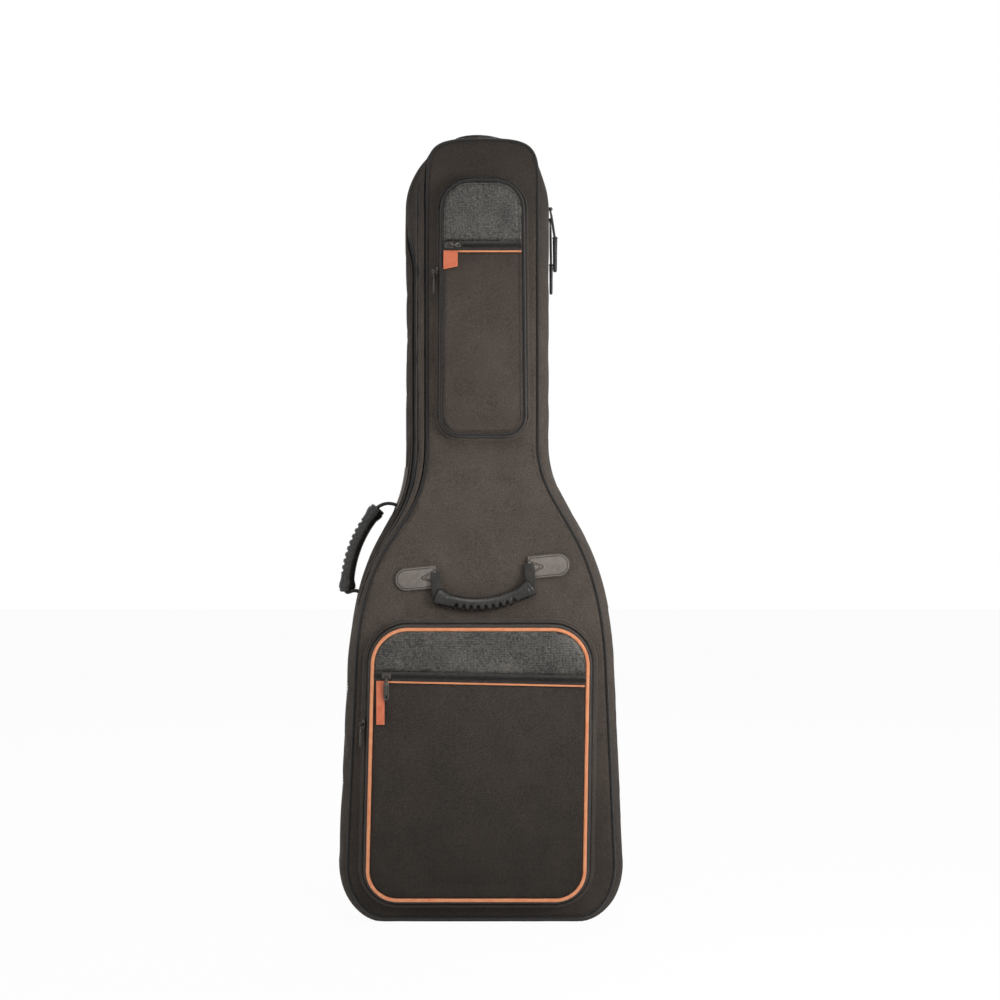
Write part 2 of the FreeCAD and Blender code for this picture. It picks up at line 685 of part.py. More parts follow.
def front_slider_origins(lower, upper):
    """Where the sliders on the two pocket faces park, at the left ends of their zips."""
    low_zip_z = LOWER_POCKET_TOP - LOWER_VINYL - ZIP_STRIP / 2
    low_x = lower.left_x(low_zip_z) + LOWER_SLIDER_IN
    low_origin = V(low_x, lower.face_y, low_zip_z - LOWER_ZIP_DROP * low_x)
    up_x = upper.left_x(upper_zip_z()) + UPPER_SLIDER_IN
    return low_origin, V(up_x, upper.face_y, upper_zip_z())


def make_sliders():
    upper_origin, lower_origin = main_slider_origins()
    lower = lower_pocket()
    upper = upper_pocket()
    low_origin, up_origin = front_slider_origins(lower, upper)
    low_side, low_turn = side_zip_frame(lower, FLAP_ZIP_REACH, FLAP_HINGE_Z + 10)
    up_side, up_turn = side_zip_frame(upper, UPPER_POCKET_DEPTH / 2, upper_zip_z() - 33)
    flat_pull = tab_pull(16.0, 6.0, 1.8)
    flat_pull.rotate(V(0, 0, 0), V(0, 1, 0), -90)
    parked = slider_shape(True)
    parked.rotate(V(0, 0, 0), V(0, 1, 0), -90)
    return {
        "main_slider_upper": placed(slider_shape(True), upper_origin, 90),
        "main_pull_upper": placed(cord_pull(-6.7, 6.0, 42.0, 44.0, 2.4), upper_origin, 90),
        "main_slider_lower": placed(slider_shape(True), lower_origin, 90),
        "main_pull_lower": placed(cord_pull(6.7, 1.0, 62.0, 38.0, 1.8), lower_origin, 90),
        "upper_zip_slider": placed(parked, up_origin, 0),
        "upper_zip_pull": placed(flat_pull, up_origin, 0),
        "upper_side_slider": placed(slider_shape(True), up_side, up_turn),
        "upper_side_pull": placed(tab_pull(30.0, 6.0, 2.2), up_side, up_turn),
        "front_zip_slider": placed(slider_shape(False), low_origin, 0),
        "front_zip_pull": placed(tab_pull(32.0, 7.5, 3.4), low_origin, 0),
        "lower_side_slider": placed(slider_shape(True), low_side, low_turn),
        "lower_side_pull": placed(tab_pull(30.0, 6.0, 2.2), low_side, low_turn),
    }


# ---------------------------------------------------------------- straps
def strap_band(start, middle, end, start_width, end_width):
    """Flat band in the XZ plane along the arc through three points."""
    arc = Part.Arc(start, middle, end).toShape()
    first, last = arc.FirstParameter, arc.LastParameter
    rails = []
    for side in (-1, 1):
        rail = []
        for t in (0.0, 0.5, 1.0):
            here = lerp(first, last, t)
            across = arc.tangentAt(here).cross(V(0, 1, 0)).normalize()
            rail.append(arc.valueAt(here) + across * side * lerp(start_width, end_width, t) / 2)
        rails.append(rail)
    left, right = rails
    edges = [
        Part.Arc(*left).toShape(),
        Part.LineSegment(left[2], right[2]).toShape(),
        Part.Arc(*right[::-1]).toShape(),
        Part.LineSegment(right[0], left[0]).toShape(),
    ]
    return Part.Face(Part.Wire(edges))


def make_strap(side):
    """Padded strap, its lower webbing and its ladder-lock buckle, on one side of the back."""
    y = BACK_Y + STRAP_OFF_BACK
    centre = NECK_OFFSET / 2
    start = V(centre + side * STRAP_TOP[0], y, STRAP_TOP[1])
    end = V(side * STRAP_END[0], y, STRAP_END[1])
    middle = (start + end) * 0.5 + V(side * 8, 0, 0)
    pad = strap_band(start, middle, end, STRAP_WIDTH, STRAP_END_WIDTH).extrude(V(0, STRAP_THICK, 0))
    foot = V(side * STRAP_RING[0], y, STRAP_RING[1])
    run = (foot - end).normalize()
    web_start = end + run * 4.0 + V(0, STRAP_THICK / 2, 0)
    web_end = foot - run * 16.0 + V(0, STRAP_THICK / 2, 0)
    web_middle = (web_start + web_end) * 0.5 + V(side * 0.5, 0, 0)
    width, thick = STRAP_WEBBING
    webbing = strap_band(web_start, web_middle, web_end, width, width).extrude(V(0, thick, 0))
    buckle = box((-20, -4, -15), (20, 4, 15)).cut(box((-14, -5, -3), (14, 5, 10)))
    turn = math.degrees(math.atan2(-run.x, -run.z))
    buckle.rotate(V(0, 0, 0), V(0, 1, 0), turn)
    buckle.translate(end + run * 24.0 + V(0, STRAP_THICK / 2 + thick / 2, 0))
    webbing = webbing.cut(buckle)
    return pad, Part.makeCompound(webbing.Solids), one_solid(buckle)


def make_strap_anchors():
    """The yoke that holds both straps at the top, and the two webbing tabs at the bottom."""
    centre = NECK_OFFSET / 2
    half = STRAP_TOP[0] + STRAP_WIDTH / 2
    z = STRAP_TOP[1] + YOKE_ABOVE_PAD
    pieces = [box((centre - half, BACK_Y, z), (centre + half, BACK_Y + 9, z + YOKE_HEIGHT))]
    for side in (-1, 1):
        x = side * STRAP_RING[0]
        pieces.append(box((x - 13, BACK_Y, STRAP_RING[1] - 46), (x + 13, BACK_Y + 2.5, STRAP_RING[1] - 8)))
    return Part.makeCompound(pieces)


def make_strap_rings():
    """Two flat loops that the lower strap webbing passes through."""
    rings = []
    for side in (-1, 1):
        x = side * STRAP_RING[0]
        low = (x - 18, BACK_Y + 2.8, STRAP_RING[1] - 14)
        high = (x + 18, BACK_Y + 6.8, STRAP_RING[1] + 8)
        bar = 4.0
        outer = box(low, high)
        hole = box((low[0] + bar, low[1] - 1, low[2] + bar), (high[0] - bar, high[1] + 1, high[2] - bar))
        rings.append(outer.cut(hole))
    return Part.makeCompound(rings)


# ---------------------------------------------------------------- inner fittings
def make_fittings():
    lining_y = BAG_DEPTH / 2 - FABRIC - PANEL_FOAM - LINING
    x = NECK_OFFSET
    low_z = NECK_BASE_Z + CRADLE_ABOVE_NECK_BASE
    width, depth, height = CRADLE_SIZE
    front_y = lining_y - depth
    cradle = box((x - width / 2, front_y, low_z), (x + width / 2, lining_y, low_z + height))
    slot_width, slot_depth = CRADLE_SLOT
    slot = box((x - slot_width / 2, front_y - 1, low_z - 1),
               (x + slot_width / 2, front_y + slot_depth, low_z + height + 1))
    strap_width, strap_thick, strap_height = NECK_STRAP
    middle_z = low_z + height / 2
    strap = box((x - strap_width / 2, front_y - strap_thick, middle_z - strap_height / 2),
                (x + strap_width / 2, front_y, middle_z + strap_height / 2))
    floor_z = FABRIC + SEWN_GAP + SIDE_FOAM
    pad_width, pad_depth, pad_height = END_PAD
    pad = box((-pad_width / 2, lining_y - pad_depth, floor_z + SEWN_GAP),
              (pad_width / 2, lining_y, floor_z + SEWN_GAP + pad_height))
    return {
        "neck_cradle": one_solid(cradle.cut(slot)),
        "neck_strap": strap,
        "end_pad": pad,
    }


def make_all():
    nodes = {}
    for prefix, side in (("front", -1), ("back", 1)):
        for name, shape in make_half_shell(side).items():
            nodes[prefix + "_" + name] = shape
    nodes.update(make_lower_pocket())
    nodes.update(make_upper_pocket())
    nodes["handle_patches"] = make_patches()
    nodes.update(make_front_handle())
    nodes["side_handle_anchors"] = make_side_anchors()
    nodes.update(make_side_handle())
    nodes.update(make_sliders())
    for name, side in (("left", -1), ("right", 1)):
        pad, webbing, buckle = make_strap(side)
        nodes[name + "_strap_pad"] = pad
        nodes[name + "_strap_webbing"] = webbing
        nodes[name + "_strap_buckle"] = buckle
    nodes["strap_anchors"] = make_strap_anchors()
    nodes["strap_rings"] = make_strap_rings()
    nodes.update(make_fittings())
    return nodes


def main():
    os.makedirs("parts", exist_ok=True)
    for name, shape in make_all().items():
        shape.exportStep("parts/" + name + ".step")
        bounds = shape.BoundBox
        print("%-24s solids %d volume %.0f  x %.1f..%.1f  y %.1f..%.1f  z %.1f..%.1f" % (
            name, len(shape.Solids), shape.Volume,
            bounds.XMin, bounds.XMax, bounds.YMin, bounds.YMax, bounds.ZMin, bounds.ZMax))


main()
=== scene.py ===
"""Looks of the padded guitar gig bag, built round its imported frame.

Metres, in the frame's own axes: +Z up from the flat bottom, +X right from the front, and
the lid faces -Y.  Each piece rides on the body that it moves with.
"""
import bpy
import bmesh
import json
import math
import numpy as np
from mathutils import Matrix, Vector, noise
from mathutils.geometry import delaunay_2d_cdt


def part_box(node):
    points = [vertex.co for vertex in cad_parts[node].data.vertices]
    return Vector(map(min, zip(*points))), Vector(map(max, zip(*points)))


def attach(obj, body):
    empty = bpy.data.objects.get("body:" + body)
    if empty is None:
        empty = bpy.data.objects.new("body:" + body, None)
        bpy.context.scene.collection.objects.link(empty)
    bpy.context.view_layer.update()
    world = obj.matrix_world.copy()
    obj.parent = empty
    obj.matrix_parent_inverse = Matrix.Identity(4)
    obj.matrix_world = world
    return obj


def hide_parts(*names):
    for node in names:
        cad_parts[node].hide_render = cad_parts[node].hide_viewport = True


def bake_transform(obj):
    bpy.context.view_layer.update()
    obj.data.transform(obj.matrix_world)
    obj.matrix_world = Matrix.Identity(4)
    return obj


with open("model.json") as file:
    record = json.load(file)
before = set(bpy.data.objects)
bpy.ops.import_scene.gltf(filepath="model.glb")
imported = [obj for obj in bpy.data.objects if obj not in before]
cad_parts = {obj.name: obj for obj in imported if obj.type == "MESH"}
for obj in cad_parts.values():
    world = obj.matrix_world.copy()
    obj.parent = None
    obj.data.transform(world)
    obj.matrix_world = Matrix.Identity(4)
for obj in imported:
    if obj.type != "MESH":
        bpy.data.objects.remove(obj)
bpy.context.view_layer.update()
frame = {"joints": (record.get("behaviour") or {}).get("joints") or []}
joints = {joint["name"]: joint for joint in frame["joints"]}

# ---------------------------------------------------------------- sizes of the shell
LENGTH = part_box("back_piping")[1].z + 0.0053
FACE_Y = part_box("front_panel")[0].y
BACK_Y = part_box("back_panel")[1].y
LOWER_WIDTH = 0.377
BOUT_WIDTH = 0.354
NECK_WIDTH = 0.188
CORNER_WIDTH = 0.060
CORNER_HEIGHT = 0.080
SIDE_TOP_Z = 0.340
NECK_BASE_Z = 0.640
SHOULDER_PULL = 0.200
WAIST_PULL = {-1: 0.135, 1: 0.100}
NECK_OFFSET = -0.006
FRONT_NECK_LEAN = 0.008
SEAM_IN_BODY = 0.011
SEAM_IN_NECK = 0.021
SEAM_IN_END = 0.0075
SOLE_FLAT = 0.0004
FACE_HEAD_RISE = 0.058
FACE_HEAD_FULLNESS = 0.88
CIRCLE_FULLNESS = 0.5523
GUSSET_ROLL = 0.014
ZIP_EDGE = 0.0045  # where each gusset's folded edge stops short of the parting plane
PIPING_R = 0.0022
CROWN = 0.0028  # how far a padded face stands proud of its seam
CROWN_REACH = 0.011
TUCK_DEPTH = 0.000484  # the puckers along a seam
GRID = 0.0052  # spacing of the points in a padded face
SEGMENT_POINTS = (16, 52, 66, 70, 34)
BOTTOM_POINTS = 46
FRONT, BACK = (0, -1, 0), (0, 1, 0)


# ---------------------------------------------------------------- outlines
def lerp(a, b, t):
    return a + (b - a) * t


def bezier(poles, count, last=False):
    """Points along a Bezier curve, with or without its last one."""
    t = np.linspace(0.0, 1.0, count, endpoint=last)[:, None]
    degree = len(poles) - 1
    total = 0
    for k, pole in enumerate(poles):
        total = total + math.comb(degree, k) * (1 - t) ** (degree - k) * t ** k * np.array(pole)
    return total


def half_poles(side, front, inset, blend):
    """Poles in X and Z of one half of the bag's outline, from the bottom corner to the top."""
    side_in = lerp(SEAM_IN_BODY, 0, blend) + inset
    neck_in = lerp(SEAM_IN_NECK, 0, blend) + inset
    end_in = lerp(SEAM_IN_END, 0, blend) + inset
    neck_x = NECK_OFFSET + (FRONT_NECK_LEAN * (1 - blend) if front else 0)
    head_z = lerp(LENGTH - SEAM_IN_END - FACE_HEAD_RISE, LENGTH - NECK_WIDTH / 2, blend)
    fullness = lerp(FACE_HEAD_FULLNESS, CIRCLE_FULLNESS, blend)
    top_z = LENGTH - end_in
    run = Vector(((BOUT_WIDTH - LOWER_WIDTH) / 2, SIDE_TOP_Z - CORNER_HEIGHT)).normalized()
    lean = np.array((side * run.x, run.y))
    corner = np.array((side * (LOWER_WIDTH / 2 - CORNER_WIDTH), max(end_in - SOLE_FLAT, 0.0)))
    lower = np.array((side * (LOWER_WIDTH / 2 - side_in), CORNER_HEIGHT))
    upper = np.array((side * (BOUT_WIDTH / 2 - side_in), SIDE_TOP_Z))
    neck_half = NECK_WIDTH / 2 - neck_in
    neck = np.array((neck_x + side * neck_half, NECK_BASE_Z))
    head = np.array((neck[0], head_z))
    top = np.array((neck_x, top_z))
    corner_reach = np.array((side * CIRCLE_FULLNESS * (CORNER_WIDTH - side_in), 0))
    corner_rise = CIRCLE_FULLNESS * (CORNER_HEIGHT - end_in)
    return [
        [corner, corner + corner_reach, lower - lean * corner_rise, lower],
        [lower, upper],
        [upper, upper + lean * SHOULDER_PULL, neck - (0, WAIST_PULL[side]), neck],
        [neck, head],
        [head, head + (0, fullness * (top_z - head_z)), top + (side * fullness * neck_half, 0), top],
    ]


def outline(front=True, inset=0.0, blend=0.0):
    """Closed loop of X and Z points round the bag, anticlockwise from the front."""
    right = half_poles(1, front, inset, blend)
    left = half_poles(-1, front, inset, blend)
    parts = [bezier([left[0][0], right[0][0]], BOTTOM_POINTS)]
    parts += [bezier(poles, n) for poles, n in zip(right, SEGMENT_POINTS)]
    parts += [bezier(poles[::-1], n) for poles, n in zip(left[::-1], SEGMENT_POINTS[::-1])]
    return np.vstack(parts)


def outward(loop):
    """Unit normals that point out of an anticlockwise loop of X and Z points."""
    along = np.roll(loop, -1, 0) - np.roll(loop, 1, 0)
    along /= np.linalg.norm(along, axis=1)[:, None]
    return np.stack((along[:, 1], -along[:, 0]), 1)


def lift(loop, y):
    """X and Z points put at depth y."""
    ys = np.broadcast_to(y, (len(loop),))
    return np.stack((loop[:, 0], ys, loop[:, 1]), 1)


def resample(points, spacing, closed=False):
    """Points at an even spacing along a polyline."""
    points = np.asarray(points, float)
    if closed:
        points = np.vstack((points, points[:1]))
    steps = np.linalg.norm(np.diff(points, axis=0), axis=1)
    along = np.concatenate(([0.0], np.cumsum(steps)))
    count = max(2, int(round(along[-1] / spacing)))
    stops = np.linspace(0.0, along[-1], count + 1)
    if closed:
        stops = stops[:-1]
    return np.stack([np.interp(stops, along, points[:, k]) for k in range(points.shape[1])], 1)


def rounded_loop(corners, radii, spacing=0.004):
    """Anticlockwise loop of X and Z points: straight sides joined by arcs."""
    points = []
    count = len(corners)
    for i in range(count):
        here = Vector(corners[i])
        back = (Vector(corners[i - 1]) - here).normalized()
        ahead = (Vector(corners[(i + 1) % count]) - here).normalized()
        half = back.angle(ahead) / 2
        reach = radii[i] / math.tan(half)
        centre = here + (back + ahead).normalized() * (radii[i] / math.sin(half))
        start = here + back * reach - centre
        end = here + ahead * reach - centre
        turn = math.atan2(start.x * end.y - start.y * end.x, start.dot(end))
        steps = max(4, int(abs(turn) * radii[i] / 0.003))
        for k in range(steps + 1):
            angle = turn * k / steps
            x = start.x * math.cos(angle) - start.y * math.sin(angle)
            z = start.x * math.sin(angle) + start.y * math.cos(angle)
            points.append((centre.x + x, centre.y + z))
    return resample(points, spacing, closed=True)


def clipped(loop, point, normal):
    """The part of a convex loop on the side of a line that its normal points to."""
    kept = []
    sides = (loop - np.array(point)) @ np.array(normal)
    for here, ahead, a, b in zip(loop, np.roll(loop, -1, 0), sides, np.roll(sides, -1)):
        if a >= 0:
            kept.append(here)
        if (a >= 0) != (b >= 0):
            kept.append(lerp(here, ahead, a / (a - b)))
    return np.array(kept)


def rectangle(x0, z0, x1, z1, radius, spacing):
    """Loop of a rectangle with round corners."""
    return rounded_loop([(x0, z0), (x1, z0), (x1, z1), (x0, z1)], [radius] * 4, spacing)


def anticlockwise(loop):
    ahead = np.roll(loop, -1, 0)
    area = np.sum(loop[:, 0] * ahead[:, 1] - ahead[:, 0] * loop[:, 1])
    return loop if area > 0 else loop[::-1]


def distance_to(points, loop):
    """Distance of each point to a closed loop, and how far along the loop it is nearest."""
    ends = np.roll(loop, -1, 0)
    run = ends - loop
    square = np.maximum((run ** 2).sum(1), 1e-12)
    steps = np.sqrt(square)
    starts = np.concatenate(([0.0], np.cumsum(steps)[:-1]))
    best = np.full(len(points), 1e9)
    along = np.zeros(len(points))
    for i in range(len(loop)):
        t = np.clip(((points - loop[i]) @ run[i]) / square[i], 0, 1)
        gap = np.linalg.norm(points - (loop[i] + t[:, None] * run[i]), axis=1)
        closer = gap < best
        best[closer] = gap[closer]
        along[closer] = starts[i] + t[closer] * steps[i]
    return best, along


# ---------------------------------------------------------------- meshes
def linked(name, data):
    """A new object in the scene."""
    obj = bpy.data.objects.new(name, data)
    bpy.context.scene.collection.objects.link(obj)
    return obj


def add_mesh(name, points, faces, material, smooth=True):
    mesh = bpy.data.meshes.new(name)
    mesh.from_pydata([tuple(map(float, p)) for p in points], [], [tuple(f) for f in faces])
    mesh.update()
    if smooth:
        mesh.shade_smooth()
    mesh.materials.append(material)
    return linked(name, mesh)


def grid_faces(rows, columns, closed_rows=False, closed_columns=True):
    """Quads of a grid whose points run row by row."""
    faces = []
    for i in range(rows if closed_rows else rows - 1):
        a, b = i * columns, ((i + 1) % rows) * columns
        for j in range(columns if closed_columns else columns - 1):
            k = (j + 1) % columns
            faces.append((a + j, a + k, b + k, b + j))
    return faces


def loft(name, rings, material, closed_rows=False, closed_columns=True, caps=False):
    """Skin over a stack of loops that all have the same number of points."""
    rings = [np.asarray(r, float) for r in rings]
    rows, columns = len(rings), len(rings[0])
    faces = grid_faces(rows, columns, closed_rows, closed_columns)
    if caps:
        faces.append(tuple(range(columns))[::-1])
        faces.append(tuple(range((rows - 1) * columns, rows * columns)))
    return add_mesh(name, np.vstack(rings), faces, material)


def fill_points(loop, spacing):
    """Points and triangles that fill a loop evenly, the loop's own points first."""
    low, high = loop.min(0), loop.max(0)
    rows = np.arange(low[1] + spacing / 2, high[1], spacing * 0.87)
    inner = []
    for i, z in enumerate(rows):
        xs = np.arange(low[0] + spacing * (0.3 + 0.5 * (i % 2)), high[0], spacing)
        inner.append(np.stack((xs, np.full(len(xs), z)), 1))
    inner = np.vstack(inner)
    x, z = inner[:, 0], inner[:, 1]
    inside = np.zeros(len(inner), bool)
    for (x0, z0), (x1, z1) in zip(loop, np.roll(loop, -1, 0)):
        if z0 != z1:
            crosses = ((z0 > z) != (z1 > z)) & (x < (x1 - x0) * (z - z0) / (z1 - z0) + x0)
            inside ^= crosses
    inner = inner[inside]
    inner = inner[distance_to(inner, loop)[0] > spacing * 0.55]
    points = np.vstack((loop, inner))
    count = len(loop)
    edges = [(i, (i + 1) % count) for i in range(count)]
    made = delaunay_2d_cdt([Vector(p) for p in points], edges, [], 1, 1e-7)
    return np.array([tuple(v) for v in made[0]]), [tuple(f) for f in made[2]]


def wobble(points, size, amount, seed):
    """Smooth noise at points, for cloth that isn't quite even."""
    shift = Vector((seed * 3.1, seed * 7.7, seed * 1.3))
    scaled = np.asarray(points) / size
    return amount * np.array([noise.noise(Vector(p) + shift) for p in scaled])


def cloth_face(name, loop, y, out, material, spacing=GRID, crown=CROWN, reach=CROWN_REACH,
               sag=0.0014, seed=1):
    """Padded sheet inside a loop, pulled down at its seam, slack in between.

    out is -1 for a sheet that bulges to the front and +1 for one that bulges to the back.
    """
    flat, faces = fill_points(loop, spacing)
    gap, along = distance_to(flat, loop)
    spots = lift(flat, 0.0)
    slack = wobble(spots, 0.075, sag, seed) - 0.45 * sag
    creases = wobble(spots, 0.022, sag * 0.22, seed + 9)
    tucks = np.array([noise.noise(Vector((a / 0.011, seed, 0.0))) for a in along])
    height = crown * (1 - np.exp(-gap / reach))
    height = height + slack * np.minimum(1, gap / 0.02)
    height = height + creases * np.minimum(1, gap / 0.01)
    height = height + TUCK_DEPTH * tucks * np.exp(-gap / 0.009) * np.minimum(1, gap / 0.003)
    if out > 0:
        faces = [f[::-1] for f in faces]
    return add_mesh(name, lift(flat, y + out * height), faces, material)


def frames_along(points, up, closed=False):
    """Tangent, side and up directions at each point of a path."""
    points = np.asarray(points, float)
    if closed:
        along = np.roll(points, -1, 0) - np.roll(points, 1, 0)
    else:
        along = np.gradient(points, axis=0)
    along /= np.linalg.norm(along, axis=1)[:, None]
    up = np.broadcast_to(np.asarray(up, float), points.shape)
    side = np.cross(up, along)
    side /= np.linalg.norm(side, axis=1)[:, None]
    return along, side, np.cross(along, side)


def sweep(name, path, radius, material, up=BACK, closed=False, sides=10, caps=True):
    """Round tube along a path. radius is a number or a function of (share, angle)."""
    path = np.asarray(path, float)
    _, side, top = frames_along(path, up, closed)
    rings = []
    for i, point in enumerate(path):
        share = i / max(1, len(path) - 1)
        ring = []
        for k in range(sides):
            angle = 2 * math.pi * k / sides
            r = radius(share, angle) if callable(radius) else radius
            rx, ry = r if isinstance(r, tuple) else (r, r)
            ring.append(point + side[i] * rx * math.cos(angle) + top[i] * ry * math.sin(angle))
        rings.append(ring)
    return loft(name, rings, material, closed_rows=closed, caps=caps and not closed)


def band(name, path, width, thick, material, up, crown=0.0, closed=False, bevel=0.25):
    """Flat strip along a path, with softly rounded edges, lying square to up."""
    path = np.asarray(path, float)
    _, side, top = frames_along(path, up, closed)
    half, rim = width / 2, thick * bevel
    section = [
        (-half + rim, 0), (-half, rim), (-half, thick - rim), (-half + rim, thick),
        (-half / 2, thick + crown * 0.75), (0, thick + crown), (half / 2, thick + crown * 0.75),
        (half - rim, thick), (half, thick - rim), (half, rim), (half - rim, 0),
    ]
    rings = [[p + s * a + t * b for a, b in section] for p, s, t in zip(path, side, top)]
    return loft(name, rings, material, closed_rows=closed, caps=not closed)


def repeat_along(name, path, up, pitch, shape, faces, material, closed=False, start=0.0):
    """Copies of a small shape at an even pitch along a path, as one mesh."""
    path = np.asarray(path, float)
    ups = np.broadcast_to(np.asarray(up, float), path.shape)
    both = resample(np.hstack((path, ups)), pitch, closed)
    if start and len(both) > 2:
        both = lerp(both[:-1], both[1:], start)
    axes = frames_along(both[:, :3], both[:, 3:], closed)
    shape = np.asarray(shape, float)
    points = both[:, None, :3]
    for k, axis in enumerate(axes):
        points = points + axis[:, None] * shape[None, :, k:k + 1]
    count = len(shape)
    every = [tuple(i * count + v for v in f) for i in range(len(both)) for f in faces]
    return add_mesh(name, points.reshape(-1, 3), every, material)


def bead(length, width, height, lift_by=0.0):
    """Small rounded bar, long in its first direction."""
    points, columns = [], 6
    stops = ((-0.5, 0.35), (-0.32, 1.0), (0.32, 1.0), (0.5, 0.35))
    for along, full in stops:
        for k in range(columns):
            angle = 2 * math.pi * k / columns
            points.append((along * length, full * width / 2 * math.cos(angle),
                           lift_by + full * height / 2 * math.sin(angle)))
    faces = grid_faces(len(stops), columns)
    faces.append(tuple(range(columns))[::-1])
    faces.append(tuple(range((len(stops) - 1) * columns, len(stops) * columns)))
    return points, faces


def stitches(name, path, up, material, closed=False, pitch=0.0042, length=0.0030, radius=0.00042):
    """A row of thread stitches on a surface whose normal is up."""
    points, faces = bead(length, 2 * radius, 1.5 * radius, radius * 0.35)
    return repeat_along(name, path, up, pitch, points, faces, material, closed)


def zip_coil(name, path, up, width, pitch=0.0021, part=0):
    """The teeth of a coil zip. part -1 or 1 gives one half of them, 0 both."""
    points, faces = bead(pitch * 0.62, width * 0.62, 0.0019, 0.0009)
    made = []
    for row in [part] if part else (-1, 1):
        shifted = [(a, b + row * width * 0.2, c) for a, b, c in points]
        shifted += [(a * 0.8, b * 0.34 + row * width * 0.42, c * 1.25) for a, b, c in points]
        double = faces + [tuple(v + len(points) for v in f) for f in faces]
        made.append(repeat_along(name, path, up, pitch, shifted, double, ZIP_TEETH,
                                 start=0.25 if row > 0 else 0.75))
    return join(name, made)


def join(name, objects):
    """Objects joined into one."""
    points, faces, slots, materials, smooth = [], [], [], [], []
    for obj in objects:
        base = len(points)
        points += [v.co.copy() for v in obj.data.vertices]
        for polygon in obj.data.polygons:
            material = obj.data.materials[polygon.material_index]
            if material not in materials:
                materials.append(material)
            faces.append(tuple(base + v for v in polygon.vertices))
            slots.append(materials.index(material))
            smooth.append(polygon.use_smooth)
        bpy.data.objects.remove(obj)
    mesh = bpy.data.meshes.new(name)
    mesh.from_pydata(points, [], faces)
    for material in materials:
        mesh.materials.append(material)
    mesh.polygons.foreach_set("material_index", slots)
    mesh.polygons.foreach_set("use_smooth", smooth)
    mesh.update()
    return linked(name, mesh)


def spots_of(obj):
    return np.array([vertex.co for vertex in obj.data.vertices])


def thicken(obj, thickness, offset=-1):
    solid = obj.modifiers.new("thickness", "SOLIDIFY")
    solid.thickness = thickness
    solid.offset = offset
    return obj


def subdivided(obj):
    modifier = obj.modifiers.new("subdivision", "SUBSURF")
    modifier.levels = 1
    modifier.render_levels = 1
    return obj


def bevelled(obj, width, segments):
    modifier = obj.modifiers.new("bevel", "BEVEL")
    modifier.width = width
    modifier.segments = segments
    modifier.limit_method = "ANGLE"
    return obj


def applied(obj):
    """Apply every modifier, so that the mesh is final."""
    graph = bpy.context.evaluated_depsgraph_get()
    mesh = bpy.data.meshes.new_from_object(obj.evaluated_get(graph))
    obj.modifiers.clear()
    obj.data = mesh
    return obj


def simulate(obj, pinned, pressure, cap, frames=20, slack=0.0, stiff=25.0, bend=3.0):
    """Fill a sheet like padding under cloth: pinned points stay, and no point moves past cap."""
    group = obj.vertex_groups.new(name="pinned")
    for index, weight in enumerate(pinned):
        if weight > 0:
            group.add([index], float(weight), "REPLACE")
    start = spots_of(obj)
    cloth = obj.modifiers.new("cloth", "CLOTH")
    settings = cloth.settings
    settings.quality = 4
    settings.mass = 0.3
    settings.vertex_group_mass = "pinned"
    settings.use_pressure = True
    settings.uniform_pressure_force = pressure
    settings.tension_stiffness = stiff
    settings.compression_stiffness = stiff
    settings.shear_stiffness = stiff / 3
    settings.bending_stiffness = bend
    settings.shrink_min = -slack
    settings.effector_weights.gravity = 0
    cloth.collision_settings.use_collision = False
    cloth.point_cache.frame_start = 1
    cloth.point_cache.frame_end = frames
    scene = bpy.context.scene
    for number in range(1, frames + 1):
        scene.frame_set(number)
    graph = bpy.context.evaluated_depsgraph_get()
    end = spots_of(obj.evaluated_get(graph))
    obj.modifiers.remove(cloth)
    obj.vertex_groups.clear()
    scene.frame_set(1)
    move = end - start
    size = np.maximum(np.linalg.norm(move, axis=1), 1e-9)
    move *= (cap * np.tanh(size / cap) / size)[:, None]
    obj.data.vertices.foreach_set("co", (start + move).ravel().astype(np.float32))
    obj.data.update()
    return obj


def place(obj, body, slot, replaces=(), fill=None):
    """Put a finished piece on its body, or only bake its transform when it is given two bodies, and hide
    the nodes it stands for; slot is not used.
    """
    if isinstance(body, str):
        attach(obj, body)
    else:
        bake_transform(obj)
    if replaces:
        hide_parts(*replaces)
    return obj


# ---------------------------------------------------------------- materials
def rgb(red, green, blue):
    """Linear colour from display values of 0 to 255."""
    values = [c / 255 for c in (red, green, blue)]
    linear = [c / 12.92 if c <= 0.04045 else ((c + 0.055) / 1.055) ** 2.4 for c in values]
    return (*linear, 1.0)


def toned(colour, share):
    return (*(min(1.0, c * share) for c in colour[:3]), 1.0)


